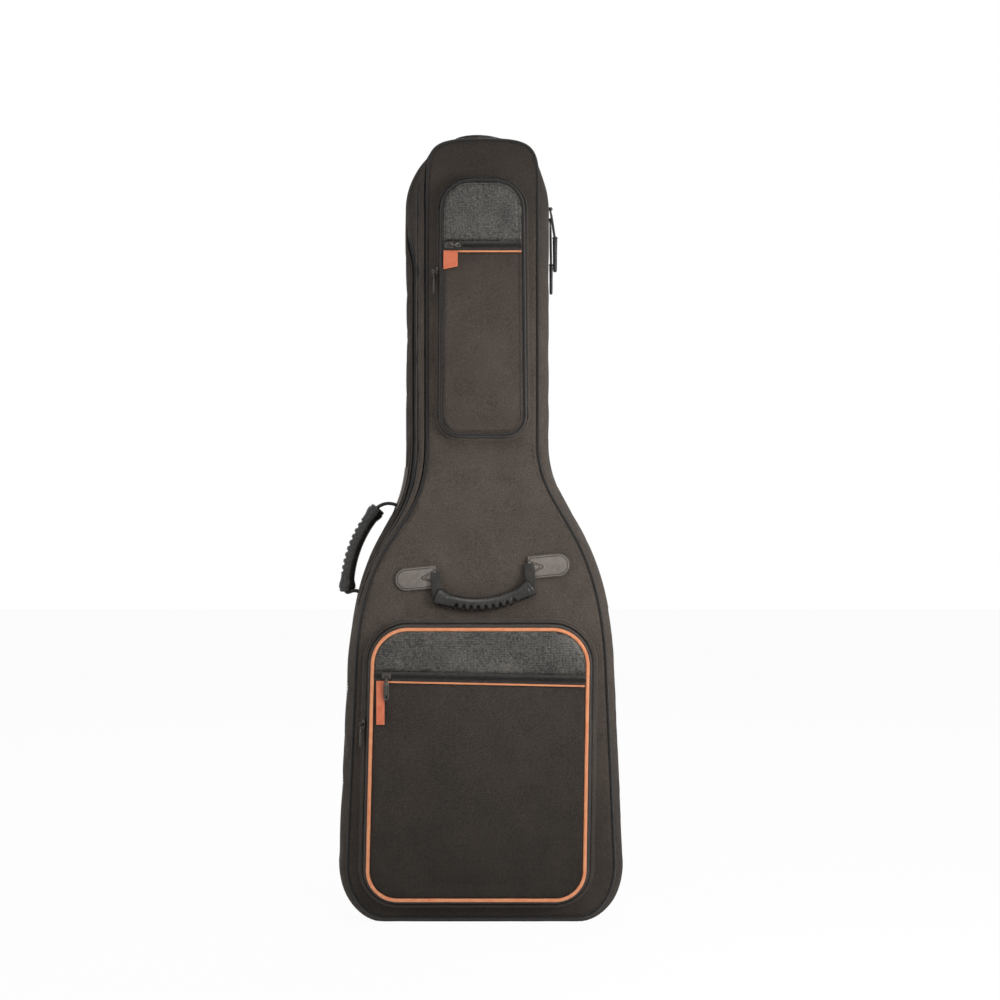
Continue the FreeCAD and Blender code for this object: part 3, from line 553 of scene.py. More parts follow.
class Shader:
    """A Principled material and the few node kinds that these finishes are made of."""

    def __init__(self, name, **settings):
        self.material = bpy.data.materials.new(name)
        self.material.use_nodes = True
        self.tree = self.material.node_tree
        self.surface = self.tree.nodes["Principled BSDF"]
        for key, value in settings.items():
            title = key.replace("_", " ").title().replace("Ior", "IOR")
            self.surface.inputs[title].default_value = value
        self.where = self.make("ShaderNodeTexCoord", output="Object")
        parts = self.tree.nodes.new("ShaderNodeSeparateXYZ")
        self.tree.links.new(self.where, parts.inputs[0])
        x, y, self.height = parts.outputs
        self.across = self.plus(x, y, 0.83)
        self.up = self.plus(self.height, y, 0.56)

    def make(self, kind, inputs=None, output=0, **properties):
        node = self.tree.nodes.new(kind)
        for key, value in properties.items():
            setattr(node, key, value)
        for key, value in (inputs or {}).items():
            if isinstance(value, bpy.types.NodeSocket):
                self.tree.links.new(value, node.inputs[key])
            else:
                node.inputs[key].default_value = value
        return node.outputs[output]

    def math(self, operation, a, b=0.0):
        return self.make("ShaderNodeMath", {0: a, 1: b}, operation=operation)

    def plus(self, a, b, weight):
        return self.math("ADD", a, self.math("MULTIPLY", b, weight))

    def noise(self, size, detail=3.0, rough=0.55):
        return self.make("ShaderNodeTexNoise", {"Vector": self.where, "Scale": 1 / size,
                                                "Detail": detail, "Roughness": rough})

    def cells(self, size):
        return self.make("ShaderNodeTexVoronoi", {"Vector": self.where, "Scale": 1 / size})

    def wave(self, place, period):
        """-1 to 1 along a coordinate, once every period."""
        return self.math("SINE", self.math("MULTIPLY", place, 2 * math.pi / period))

    def slanted(self, slant, period):
        """Two waves that cross, slanting either way."""
        rise = self.math("MULTIPLY", self.up, slant)
        return [self.wave(self.math(way, self.across, rise), period) for way in ("ADD", "SUBTRACT")]

    def mix(self, share, low, high):
        return self.make("ShaderNodeMix", {0: share, 6: low, 7: high}, output=2, data_type="RGBA")

    def spread(self, value, low, high, to_low=0.0, to_high=1.0):
        return self.make("ShaderNodeMapRange", {0: value, 1: low, 2: high, 3: to_low, 4: to_high})

    def colour(self, share, low, high):
        self.tree.links.new(self.mix(share, low, high), self.surface.inputs["Base Color"])

    def roughness(self, value):
        self.tree.links.new(value, self.surface.inputs["Roughness"])

    def bump(self, height, depth, strength=1.0):
        normal = self.make("ShaderNodeBump", {"Height": height, "Distance": depth, "Strength": strength})
        self.tree.links.new(normal, self.surface.inputs["Normal"])


# Painted shade on the cloth: the heights over which its colour darkens towards the foot and the head.
PAINTED_SHADE_FOOT = (-0.04, 0.40)
PAINTED_SHADE_HEAD = (0.80, 1.04)
PAINTED_SHADE_SHARE = 0.62  # painted shade: how much darker the cloth's colour is made at both ends, standing in for the lesser light there


def woven(name, dark, light, thread=0.0016, depth=0.0004, sheen=0.08, rough=0.74, grain=0.0018):
    """Plain weave with uneven threads, faint rubbed patches, a soft sheen, and painted shade that darkens
    the colour towards both ends.
    """
    s = Shader(name, roughness=rough, specular_ior_level=0.16, sheen_weight=sheen, sheen_roughness=0.45)
    over = s.math("MULTIPLY", s.wave(s.across, thread), s.wave(s.up, thread))
    weave = s.math("ADD", s.math("MULTIPLY", over, 0.5), 0.5)
    slub = s.noise(grain, 3.0, 0.75)
    patches = s.noise(0.06, 4.0, 0.6)
    shade = s.plus(s.plus(s.math("MULTIPLY", weave, 0.22), slub, 0.85), patches, 0.35)
    tone = s.mix(s.spread(shade, 0.42, 1.0), dark, light)
    # painted shade: the colour darkens towards the foot and the head, where less light falls
    foot = s.spread(s.height, *PAINTED_SHADE_FOOT, PAINTED_SHADE_SHARE, 0.0)
    head = s.spread(s.height, *PAINTED_SHADE_HEAD, 0.0, PAINTED_SHADE_SHARE)
    ends = s.math("ADD", foot, head)
    s.colour(ends, tone, toned(dark, 0.2))
    s.roughness(s.spread(patches, 0.3, 0.7, rough - 0.06, min(1.0, rough + 0.08)))
    s.bump(s.plus(weave, slub, 1.6), depth)
    return s.material


def embossed_vinyl():
    """Coated cloth with a small pressed diamond pattern, a low gloss and broad painted highlights."""
    s = Shader("embossed_vinyl", specular_ior_level=0.4, coat_weight=0.08, coat_roughness=0.3)
    raised = s.spread(s.math("MULTIPLY", *s.slanted(0.62, 0.0040)), -0.5, 0.5)
    grain = s.noise(0.0027, 2.0, 0.8)
    # painted highlights: these broad patches lighten the colour in soft blotches, standing in for soft
    # highlights on the vinyl's folds
    patches = s.noise(0.030, 1.0)
    tone = s.plus(s.plus(s.math("MULTIPLY", raised, 0.06), grain, 1.1), patches, 0.3)
    s.colour(s.spread(tone, 0.56, 1.06), rgb(4, 4, 4), rgb(101, 97, 90))
    s.roughness(s.spread(grain, 0.3, 0.7, 0.34, 0.50))
    s.bump(s.plus(grain, raised, 0.3), 0.0006)
    return s.material


def leatherette(name, dark, light, rough=0.5):
    s = Shader(name, specular_ior_level=0.45)
    pores = s.cells(0.0019)
    creases = s.noise(0.006, 5.0, 0.65)
    worn = s.noise(0.02, 3.0)
    s.colour(s.spread(s.math("ADD", creases, worn), 0.5, 1.5), dark, light)
    s.roughness(s.spread(worn, 0.3, 0.7, rough - 0.08, rough + 0.1))
    s.bump(s.plus(pores, creases, 0.8), 0.0003)
    return s.material


def ribbed(name, dark, light, rib=0.0016, sheen=0.2, rough=0.72):
    """Webbing, tape and bound cord: fine ribs across the yarn, with slight colour drift."""
    s = Shader(name, roughness=rough, specular_ior_level=0.35, sheen_weight=sheen, sheen_roughness=0.4)
    ribs = s.math("MAXIMUM", *(s.wave(s.math(way, s.up, s.across), rib) for way in ("ADD", "SUBTRACT")))
    tone = s.plus(s.noise(0.009), ribs, 0.3)
    s.colour(s.spread(tone, 0.2, 0.95), dark, light)
    s.bump(ribs, 0.0003)
    return s.material


def rubber(name, dark, light, rough=0.55):
    s = Shader(name, specular_ior_level=0.4)
    scuffs = s.noise(0.004, 6.0, 0.7)
    drift = s.noise(0.03, 2.0)
    s.colour(s.spread(s.math("ADD", scuffs, drift), 0.75, 1.25), dark, light)
    s.roughness(s.spread(scuffs, 0.3, 0.7, rough - 0.1, rough + 0.12))
    s.bump(s.noise(0.0008, 2.0), 0.00012)
    return s.material


def metal(name, tone, rough=0.28):
    s = Shader(name, metallic=1.0)
    wear = s.noise(0.003, 5.0, 0.7)
    s.colour(s.spread(wear, 0.35, 0.65), tone, toned(tone, 1.5))
    s.roughness(s.spread(wear, 0.3, 0.7, rough - 0.08, rough + 0.14))
    s.bump(s.noise(0.0012, 3.0), 0.00006)
    return s.material


def plush():
    """Brushed pile lining."""
    s = Shader("plush", roughness=0.95, specular_ior_level=0.15, sheen_weight=0.3, sheen_roughness=0.6)
    nap = s.noise(0.0016, 4.0, 0.7)
    brushed = s.noise(0.03, 4.0, 0.65)
    s.colour(s.spread(s.math("ADD", nap, brushed), 0.7, 1.3), rgb(34, 32, 32), rgb(70, 66, 64))
    s.bump(nap, 0.0009)
    return s.material


def spacer_mesh():
    """Knitted spacer cloth with a grid of small holes."""
    s = Shader("spacer_mesh", roughness=0.85, specular_ior_level=0.2, sheen_weight=0.3, sheen_roughness=0.5)
    holes = s.spread(s.math("MULTIPLY", *s.slanted(0.577, 0.0042)), 0.1, 0.75)
    yarn = s.noise(0.0011, 3.0)
    s.colour(holes, s.mix(yarn, rgb(50, 47, 44), rgb(74, 70, 66)), rgb(16, 15, 14))
    s.bump(s.math("SUBTRACT", s.math("MULTIPLY", yarn, 0.4), holes), 0.0008)
    return s.material


BODY_CLOTH = woven("body_cloth", rgb(42, 36, 32), rgb(108, 98, 90))
POCKET_CLOTH = woven("pocket_cloth", rgb(30, 26, 23), rgb(88, 80, 73), thread=0.0014)
UPPER_CLOTH = woven("upper_pocket_cloth", rgb(38, 33, 29), rgb(100, 90, 83))
VINYL = embossed_vinyl()
PATCH = leatherette("patch_leather", rgb(86, 79, 74), rgb(132, 124, 117))
DARK_PIPING = ribbed("dark_piping", rgb(12, 11, 10), rgb(36, 33, 31), rib=0.0022, rough=0.6)
ORANGE_PIPING = ribbed("orange_piping", rgb(236, 134, 88), rgb(255, 176, 126), rib=0.002, rough=0.28)
LABEL = ribbed("label_cloth", rgb(240, 110, 72), rgb(255, 150, 110), rib=0.0009, rough=0.6)
THREAD = ribbed("thread", rgb(10, 9, 8), rgb(34, 31, 29), rib=0.0008)
PATCH_THREAD = ribbed("patch_thread", rgb(20, 18, 17), rgb(50, 46, 43), rib=0.0008)
ZIP_TAPE = ribbed("zip_tape", rgb(12, 11, 10), rgb(36, 34, 32), rib=0.0012)
FRONT_TAPE = ribbed("front_zip_tape", rgb(38, 36, 34), rgb(74, 70, 66), rib=0.0012)
ZIP_TEETH = rubber("zip_teeth", rgb(9, 9, 8), rgb(30, 28, 27), rough=0.4)
WEBBING = ribbed("webbing", rgb(24, 23, 22), rgb(62, 58, 54), rib=0.0026)
GRIP = rubber("grip_rubber", rgb(22, 21, 20), rgb(50, 47, 45), rough=0.27)
PULL = rubber("pull_rubber", rgb(16, 16, 16), rgb(40, 39, 38), rough=0.42)
SLIDER = metal("slider_metal", rgb(70, 67, 64), rough=0.3)
PLASTIC = rubber("hard_plastic", rgb(18, 18, 18), rgb(42, 41, 40), rough=0.34)
PLUSH = plush()
STRAP_MESH = spacer_mesh()

# ---------------------------------------------------------------- shell
SHELL_CLOTH = 0.0016  # thickness of each cloth
POCKET_CLOTH_THICK = 0.0014
LINING_CLOTH = 0.0012
TAPE = 0.0008
SEAM_DEPTH = 0.0012  # where a gusset's cloth starts, behind the face seam
GUSSET_ROWS = 24
LEAN = 0.0155  # how far the left of the neck leans in, so that its zip looks to the front
LEAN_Y = (-0.012, 0.020)
LEAN_Y_HEAD = (-0.026, -0.003)  # at the head only the lid leans, so that the slider keeps its zip
LEAN_Z = (0.33, 0.62)
LEAN_TOP = (0.870, 0.944)
LEAN_X = (-0.02, -0.06)
LEAN_FROM_FACE = 0.014
HINGE_FOOT = (0.010, 0.050)
HINGE_HEAD = (0.400, 0.520)
HINGE_FLAT = (0.014, 0.030)  # the gussets stay flat this far from the hinge
ZIP_RING_IN = 0.0024  # the zip's tape lies this far inside the gussets
ZIP_ROW = slice(12, -30)  # the part of the zip's run that has stitches beside it
HINGE_HALF = 0.0115  # half the width of the cloth hinge
HINGE_CLOTH = 0.0012
HINGE_CLEAR = 0.007  # either side of the parting plane, given with the hinge strip's two bodies
HALVES = {-1: ("lid", "front", True), 1: ("back_half", "back", False)}
SIDE_NAMES = {-1: "left", 1: "right"}


def parting_loop(inset=0.0):
    """The bag's widest outline, where its two halves meet, kept off the ground by its inset."""
    loop = outline(False, inset, 1.0)
    loop[:, 1] = np.maximum(loop[:, 1], inset)
    return loop


def ease(values, start, end):
    """0 at start and 1 at end, with level ends."""
    t = np.clip((values - start) / (end - start), 0, 1)
    return t * t * (3 - 2 * t)


def leaned(points):
    """Shell points with the soft left side of the neck eased in towards the middle."""
    points = np.array(points, float)
    x, y, z = points[..., 0], points[..., 1], points[..., 2]
    top = ease(z, *LEAN_TOP)
    start, end = (lerp(low, high, top) for low, high in zip(LEAN_Y, LEAN_Y_HEAD))
    share = (1 - ease(y, start, end)) * ease(z, *LEAN_Z) * ease(x, *LEAN_X)
    points[..., 0] = x + LEAN * share * ease(y, FACE_Y, FACE_Y + LEAN_FROM_FACE)
    return points


def lean(obj):
    """Lean a finished mesh with the shell that it lies on."""
    mesh = obj.data
    flat = np.empty(3 * len(mesh.vertices))
    mesh.vertices.foreach_get("co", flat)
    mesh.vertices.foreach_set("co", leaned(flat.reshape(-1, 3)).ravel())
    mesh.update()
    return obj


def at_hinge(points):
    """1 beside the cloth hinge, where the open lid lies against the back, and 0 elsewhere."""
    x, z = points[:, 0], points[:, 2]
    return (x > 0) * ease(z, *HINGE_FOOT) * (1 - ease(z, *HINGE_HEAD))


def gusset_rings(side):
    """Loops from the face seam, over the padded edge, to the fold beside the zip."""
    front = HALVES[side][2]
    reach = abs(FACE_Y) - ZIP_EDGE
    rings = []
    for i in range(GUSSET_ROWS + 1):
        depth = SEAM_DEPTH + (reach - SEAM_DEPTH) * i / GUSSET_ROWS
        blend = math.sin(math.pi / 2 * min(1.0, depth / (GUSSET_ROLL + 0.003))) ** 0.8
        loop = outline(front, 0.0, blend)
        out = outward(loop)
        swell = 0.0016 * math.sin(math.pi * min(1.0, depth / reach)) ** 0.7
        fold = 0.0008 if reach - depth < 0.0085 else 0.0
        y = side * (abs(FACE_Y) - depth)
        spots = lift(loop, y)
        ripple = wobble(spots, 0.045, 0.0007, 3 + side) + wobble(spots, 0.016, 0.00012, 5 + side)
        proud = swell + fold + ripple * math.sin(math.pi * depth / reach)
        proud = proud * (1 - at_hinge(spots) * ease(depth, reach - HINGE_FLAT[1], reach - HINGE_FLAT[0]))
        loop = loop + out * proud[:, None]
        loop[:, 1] = np.maximum(loop[:, 1], 0.0)
        rings.append(lift(loop, y))
    return rings


def make_gusset(side):
    body, prefix, _ = HALVES[side]
    rings = gusset_rings(side)[::side]
    obj = lean(loft(prefix + "_gusset_cloth", rings, BODY_CLOTH))
    count = len(rings[0])
    spots = spots_of(obj)
    pinned = np.zeros(len(spots))
    pinned[:count] = 1
    pinned[-count:] = 1
    pinned[spots[:, 2] < 0.004] = 1
    pinned[(at_hinge(spots) > 0.05) & (np.abs(spots[:, 1]) < HINGE_FLAT[1])] = 1
    simulate(obj, pinned, pressure=2.5, cap=0.0015, slack=0.003)
    thicken(obj, SHELL_CLOTH)
    place(obj, body, "shell_fabric", [prefix + "_gusset"], fill=0.7)


def pocket_pins(points, front):
    """1 where the pockets and patches are sewn to a panel, so that they hold it flat."""
    pins = np.zeros(len(points))
    if not front:
        return pins
    x, z = points[:, 0], points[:, 2]
    lifted = GRIP_DROP + 0.025  # the lifted handle lies on the cloth above its patches
    for node, above in (("lower_pocket_gusset", 0), ("upper_pocket_gusset", 0), ("handle_patches", lifted)):
        low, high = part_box(node)
        pins[(x > low.x) & (x < high.x) & (z > low.z) & (z < high.z + above)] = 1
    return pins


def grip_dents(points):
    """How far the front cloth gives way where the lifted handle's ends come to lie."""
    dent = np.zeros(len(points))
    for side in SIDE_NAMES:
        spot = handle_frame() @ Vector((side * DENT_SPREAD, 0.0, DENT_RISE))
        gap = np.hypot(points[:, 0] - spot.x, points[:, 2] - spot.z)
        dent += DENT_DEPTH * np.exp(-((gap / DENT_SIZE) ** 2))
    return dent


def make_panel(side):
    body, prefix, front = HALVES[side]
    loop = resample(outline(front), 0.0045, closed=True)
    y = FACE_Y if side < 0 else BACK_Y
    obj = cloth_face(prefix + "_panel_cloth", loop, y, side, BODY_CLOTH, seed=11 + side)
    points = spots_of(obj)
    if front:
        points[:, 1] += grip_dents(points)
        obj.data.vertices.foreach_set("co", points.ravel())
    pinned = pocket_pins(points, front)
    pinned[:len(loop)] = 1
    simulate(obj, pinned, pressure=1.4, cap=0.0022, slack=0.004)
    thicken(obj, SHELL_CLOTH)
    place(obj, body, "shell_fabric", [prefix + "_panel"], fill=0.8)


def make_face_piping(side):
    body, prefix, front = HALVES[side]
    loop = resample(outline(front), 0.004, closed=True)
    y = side * (abs(FACE_Y) - 0.0004)
    path = lift(loop + outward(loop) * 0.0004, y)
    cord = sweep(prefix + "_piping_cord", path, PIPING_R * 1.02, DARK_PIPING, closed=True)
    place(cord, body, "dark_piping", [prefix + "_piping"])
    inner = resample(outline(front, 0.0062), 0.004, closed=True)
    row = lift(inner, side * (abs(FACE_Y) + 0.0009))
    sewn = stitches(prefix + "_panel_stitches", row, (0, side, 0), THREAD, closed=True)
    place(sewn, body, "shell_fabric")


def zip_path(inset, y):
    """The open run of the main zip: up the right side, over the head, down and along the bottom."""
    loop = parting_loop(inset)
    first = BOTTOM_POINTS + SEGMENT_POINTS[0] + SEGMENT_POINTS[1] - 2
    last = BOTTOM_POINTS + SEGMENT_POINTS[0] + 2
    order = np.arange(first, last + len(loop)) % len(loop)
    return lift(loop[order], y), lift(outward(loop)[order], 0.0)


def make_main_zip(side):
    body, prefix, _ = HALVES[side]
    rings = [lift(parting_loop(ZIP_RING_IN + sunk), side * y)
             for y, sunk in ((0.0003, 0), (0.004, 0), (0.0092, 0.0004))]
    tape = lean(loft(prefix + "_zip_tape_cloth", rings[::-side], ZIP_TAPE))
    place(thicken(tape, TAPE), body, "zip_tape", [prefix + "_zip_tape"])
    path, ups = zip_path(ZIP_RING_IN, 0.0)
    teeth = zip_coil(prefix + "_zip_teeth", path, ups, 0.0056, part=-side)
    place(lean(teeth), body, "zip_tape")
    for name, y, shift in (("fold", 0.0072, 0.0013), ("seam", 0.0118, 0.0020)):
        run, up = zip_path(0.0, side * y)
        run = run + up * shift
        run[:, 2] = np.maximum(run[:, 2], 0.0010)
        row = stitches(prefix + "_zip_" + name + "_stitches", run[ZIP_ROW], up[ZIP_ROW], THREAD,
                       radius=0.00055)
        place(lean(row), body, "shell_fabric")


def make_side_seam():
    """The sewn ridge down the left of the lid's gusset, between its face and its zip."""
    loop = outline(True, 0.0, 0.80)
    out = outward(loop)
    chosen = (loop[:, 0] < 0) & (loop[:, 1] > 0.42)
    run = lift(loop[chosen] + out[chosen] * 0.0010, FACE_Y + 0.0092)
    ridge = sweep("lid_side_ridge", resample(run, 0.004), 0.0010, DARK_PIPING, sides=8)
    place(lean(ridge), "lid", "dark_piping")


def make_hinge_strip():
    """The cloth that joins both gussets down the straight right side."""
    loop = parting_loop()
    first = BOTTOM_POINTS + SEGMENT_POINTS[0]
    run = loop[first - 2:first + SEGMENT_POINTS[1] + 3]
    rings = []
    for y in np.linspace(-HINGE_HALF, HINGE_HALF, 13):
        swell = 0.0002 + 0.0010 * math.cos(y / HINGE_HALF * math.pi / 2)
        rings.append(lift(run + (swell, 0.0), y))
    strip = loft("hinge_strip", rings, BODY_CLOTH, closed_columns=False)
    applied(thicken(strip, HINGE_CLOTH, offset=0))
    place(strip, ("back_half", "lid", (0.18, HINGE_CLEAR, 0.2), (0.18, -HINGE_CLEAR, 0.2)), "shell_fabric")
    for side, body in ((-1, "lid"), (1, "back_half")):
        path = lift(run + (0.0005, 0.0), side * 0.0128)
        row = stitches(HALVES[side][1] + "_hinge_stitches", path, (1, 0, 0), THREAD)
        place(row, body, "shell_fabric")


# ---------------------------------------------------------------- lining and inner fittings
LINING_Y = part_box("back_lining")[0].y
INNER_IN = 0.0107  # the lining's edge lies this far inside the outline


def make_lining(side):
    body, prefix, _ = HALVES[side]
    loop = resample(outline(False, INNER_IN, 1.0), 0.006, closed=True)
    floor = cloth_face(prefix + "_lining_cloth", loop, side * LINING_Y, -side, PLUSH,
                       spacing=0.008, crown=0.0015, seed=21 + side)
    nodes = [prefix + "_lining", prefix + "_foam"]
    place(lean(thicken(floor, LINING_CLOTH)), body, "plush_lining", nodes, fill=0.8)
    section = ((0.0034, 0.0094), (0.0062, 0.0098), (0.0092, 0.0122), (0.0104, 0.0165),
               (0.0104, 0.0215), (0.0112, LINING_Y + 0.0006))
    rings = [lift(outline(False, inset, 1.0), side * y) for inset, y in section]
    wall = lean(loft(prefix + "_wall_lining", rings[::side], PLUSH))
    subdivided(thicken(wall, LINING_CLOTH))
    place(wall, body, "plush_lining", [prefix + "_gusset_padding"], fill=0.8)


def pillow(name, low, high, material, round_by, crown=0.0, spacing=0.008, seed=1):
    """Stuffed block: rounded edges, crowned faces and slightly uneven cloth."""
    low, high = Vector(low), Vector(high)
    size = high - low
    centre = (low + high) / 2
    mesh = bmesh.new()
    bmesh.ops.create_cube(mesh, size=2.0)
    cuts = max(3, min(40, int(max(size) / spacing)))
    bmesh.ops.subdivide_edges(mesh, edges=mesh.edges[:], cuts=cuts, use_grid_fill=True)
    half = size / 2
    radius = min(round_by, min(half) * 0.95)
    for vertex in mesh.verts:
        p = Vector([vertex.co[k] * half[k] for k in range(3)])
        core = Vector([max(-(half[k] - radius), min(half[k] - radius, p[k])) for k in range(3)])
        away = p - core
        if away.length > 1e-9:
            p = core + away.normalized() * radius
        share = [1 - min(1.0, abs(p[k]) / half[k]) ** 2 for k in range(3)]
        for k in range(3):
            i, j = (k + 1) % 3, (k + 2) % 3
            if abs(abs(vertex.co[k]) - 1) < 1e-6:
                p[k] += math.copysign(crown, vertex.co[k]) * (share[i] * share[j]) ** 0.5
        p += Vector([0.0003 * noise.noise((p + Vector((seed, k, 0))) / 0.012) for k in range(3)])
        vertex.co = centre + p
    data = bpy.data.meshes.new(name)
    mesh.to_mesh(data)
    mesh.free()
    data.shade_smooth()
    data.materials.append(material)
    return linked(name, data)


def prism(name, loop, low, high, material, rim, axis="z"):
    """Rounded-edge extrusion of a loop of points, along one axis."""
    loop = np.asarray(loop, float)
    out = outward(loop)
    rings = []
    for level, inset in ((low, rim), (low + rim * 0.3, rim * 0.3), (low + rim, 0.0),
                         (high - rim, 0.0), (high - rim * 0.3, rim * 0.3), (high, rim)):
        ring = lift(loop - out * inset, -level)
        rings.append(ring if axis == "-y" else ring[:, [0, 2, 1]] * (1, 1, -1))
    return loft(name, rings, material, caps=True)


def make_cradle():
    low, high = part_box("neck_cradle")
    slot_half = 0.032
    slot_depth = 0.025
    middle = (low.x + high.x) / 2
    corners = [(low.x, low.y), (middle - slot_half, low.y), (middle - slot_half, low.y + slot_depth),
               (middle + slot_half, low.y + slot_depth), (middle + slot_half, low.y), (high.x, low.y),
               (high.x, high.y), (low.x, high.y)]
    loop = rounded_loop(corners, [0.007, 0.007, 0.008, 0.008, 0.007, 0.007, 0.005, 0.005], 0.003)
    block = prism("neck_cradle_block", loop, low.z, high.z, PLUSH, 0.005)
    place(block, "back_half", "plush_lining", ["neck_cradle"], fill=0.9)
    low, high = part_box("neck_strap")
    y, z = high.y + 0.0002, (low.z + high.z) / 2
    path = np.linspace((low.x, y, z), (high.x, y, z), 30)
    strap = band("neck_strap_band", path, high.z - low.z, high.y - low.y, WEBBING, FRONT, crown=0.0005)
    place(strap, "back_half", "webbing", ["neck_strap"])
    for share in (0.06, 0.94):
        x = lerp(low.x, high.x, share)
        row = np.linspace((x, low.y - 0.0002, low.z + 0.004), (x, low.y - 0.0002, high.z - 0.004), 12)
        line = stitches("neck_strap_stitches_%d" % round(share * 100), row, FRONT, THREAD)
        place(line, "back_half", "webbing")


def make_end_pad():
    low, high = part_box("end_pad")
    pad = pillow("end_pad_block", low, high, PLUSH, 0.009, crown=0.0015, spacing=0.009, seed=4)
    place(pad, "back_half", "plush_lining", ["end_pad"], fill=0.9)


# ---------------------------------------------------------------- pockets
ZIP_STRIP = 0.012
FLAP_ZIP_REACH = 0.0135
FLAP_BEND = (0.240, 0.272)
TRIM_R = 0.0013
TAPE_HALF = 0.0045  # half the width of a side zip's tape
LOWER_TAPE_SUNK, UPPER_TAPE_SUNK = 0.0014, 0.0012


class Pocket:
    """A boxed pocket on the lid: where its outline, depth and zip are."""

    def __init__(self, corners, radii, depth, flare, zip_z, slope, piping_r):
        self.corners = corners
        self.radii = radii
        self.depth = depth
        self.flare = flare
        self.zip_z = zip_z
        self.slope = slope
        self.piping_r = piping_r
        self.face_y = FACE_Y - depth

    def loop(self, grow=0.0, spacing=0.004):
        signs = ((-1, -1), (1, -1), (1, 1), (-1, 1))
        corners = [(x + sx * grow, z + sz * grow) for (x, z), (sx, sz) in zip(self.corners, signs)]
        return rounded_loop(corners, [max(0.003, r + grow) for r in self.radii], spacing)

    def out_at(self, reach):
        return self.flare * (1 - reach / self.depth)

    def edge_x(self, side, z):
        low, high = self.corners[1:3] if side > 0 else self.corners[::3]
        return lerp(low[0], high[0], (z - low[1]) / (high[1] - low[1]))

    def zip_line(self, start_x, end_x, count, y, drop=0.0):
        """Points along the front zip, or this far below it."""
        ends = [(x, y, self.zip_z + self.slope * x - drop) for x in (start_x, end_x)]
        return np.linspace(ends[0], ends[1], count)

    def gusset_rings(self, reach_from, reach_to, rows, swell, seed, sunk=0.0):
        """Loops of gusset cloth between two distances from the front panel."""
        base = self.loop(0.0, 0.0045)
        out = outward(base)
        rings = []
        for i in range(rows + 1):
            share = i / rows
            reach = lerp(reach_from, reach_to, share)
            puff = swell * math.sin(math.pi * share) ** 0.8
            spots = lift(base, FACE_Y - reach)
            ripple = wobble(spots, 0.026, 0.0009, seed) * math.sin(math.pi * share)
            flat = base + out * (self.out_at(reach) + puff + ripple)[:, None]
            rings.append(lift(flat - outward(flat) * sunk, FACE_Y - reach))
        return rings

    def side_tape(self, name, reach_from, reach_to, sunk, seed, body):
        rings = self.gusset_rings(reach_from, reach_to, 2, 0.0, seed, sunk)
        place(solid_cloth(loft(name, rings, ZIP_TAPE), TAPE), body, "zip_tape")

    def run_at(self, reach, first_z, shift=0.0):
        """The gusset's line at one reach, from first_z on the right over the top to the left."""
        base = self.loop(self.out_at(reach), 0.003)
        out = outward(base)
        above = base[:, 1] > first_z
        start = int(np.argmax(above & ~np.roll(above, 1)))
        order = (np.arange(len(base)) + start) % len(base)
        order = order[above[order]]
        ups = lift(out[order], -self.flare / self.depth)
        path = lift(base[order] + out[order] * shift, FACE_Y - reach)
        return path, ups / np.linalg.norm(ups, axis=1)[:, None]


def lower_pocket():
    half = LOWER_WIDTH / 2 - 0.046
    bottom, top, lean_x = 0.0345, 0.392, 0.007
    corners = [(-lean_x - half - 0.001, bottom), (-lean_x + half + 0.001, bottom),
               (half - 0.0005, top), (0.0005 - half, top)]
    zip_z = top - 0.058 - ZIP_STRIP / 2
    return Pocket(corners, (0.039, 0.039, 0.047, 0.047), depth=0.028, flare=0.0145, zip_z=zip_z,
                  slope=-0.0212, piping_r=0.0023)


def upper_pocket():
    half = NECK_WIDTH / 2 - SEAM_IN_NECK - 0.0185
    centre = NECK_OFFSET + FRONT_NECK_LEAN
    bottom, top = NECK_BASE_Z + 0.009, LENGTH - 0.064
    corners = [(centre - half - 0.001, bottom), (centre + half + 0.002, bottom),
               (centre + half - 0.001, top), (centre - half + 0.001, top)]
    zip_z = top - 0.0805 - ZIP_STRIP / 2
    return Pocket(corners, (0.025, 0.025, 0.038, 0.038), depth=0.020, flare=0.007, zip_z=zip_z,
                  slope=0.0, piping_r=0.0016)


def flap_blend(y):
    return ("lid", "pocket_flap", (0, y, FLAP_BEND[0]), (0, y, FLAP_BEND[1]))


def solid_cloth(obj, thickness=POCKET_CLOTH_THICK):
    return applied(thicken(obj, thickness))


def make_pocket_gusset(pocket, reaches, name, body, replaces, seed, rows=8, swell=0.0012):
    rings = pocket.gusset_rings(*reaches, rows, swell, seed)
    cloth = solid_cloth(loft(name, rings, BODY_CLOTH), 0.0012)
    place(cloth, body, "pocket_fabric", replaces, fill=0.4)


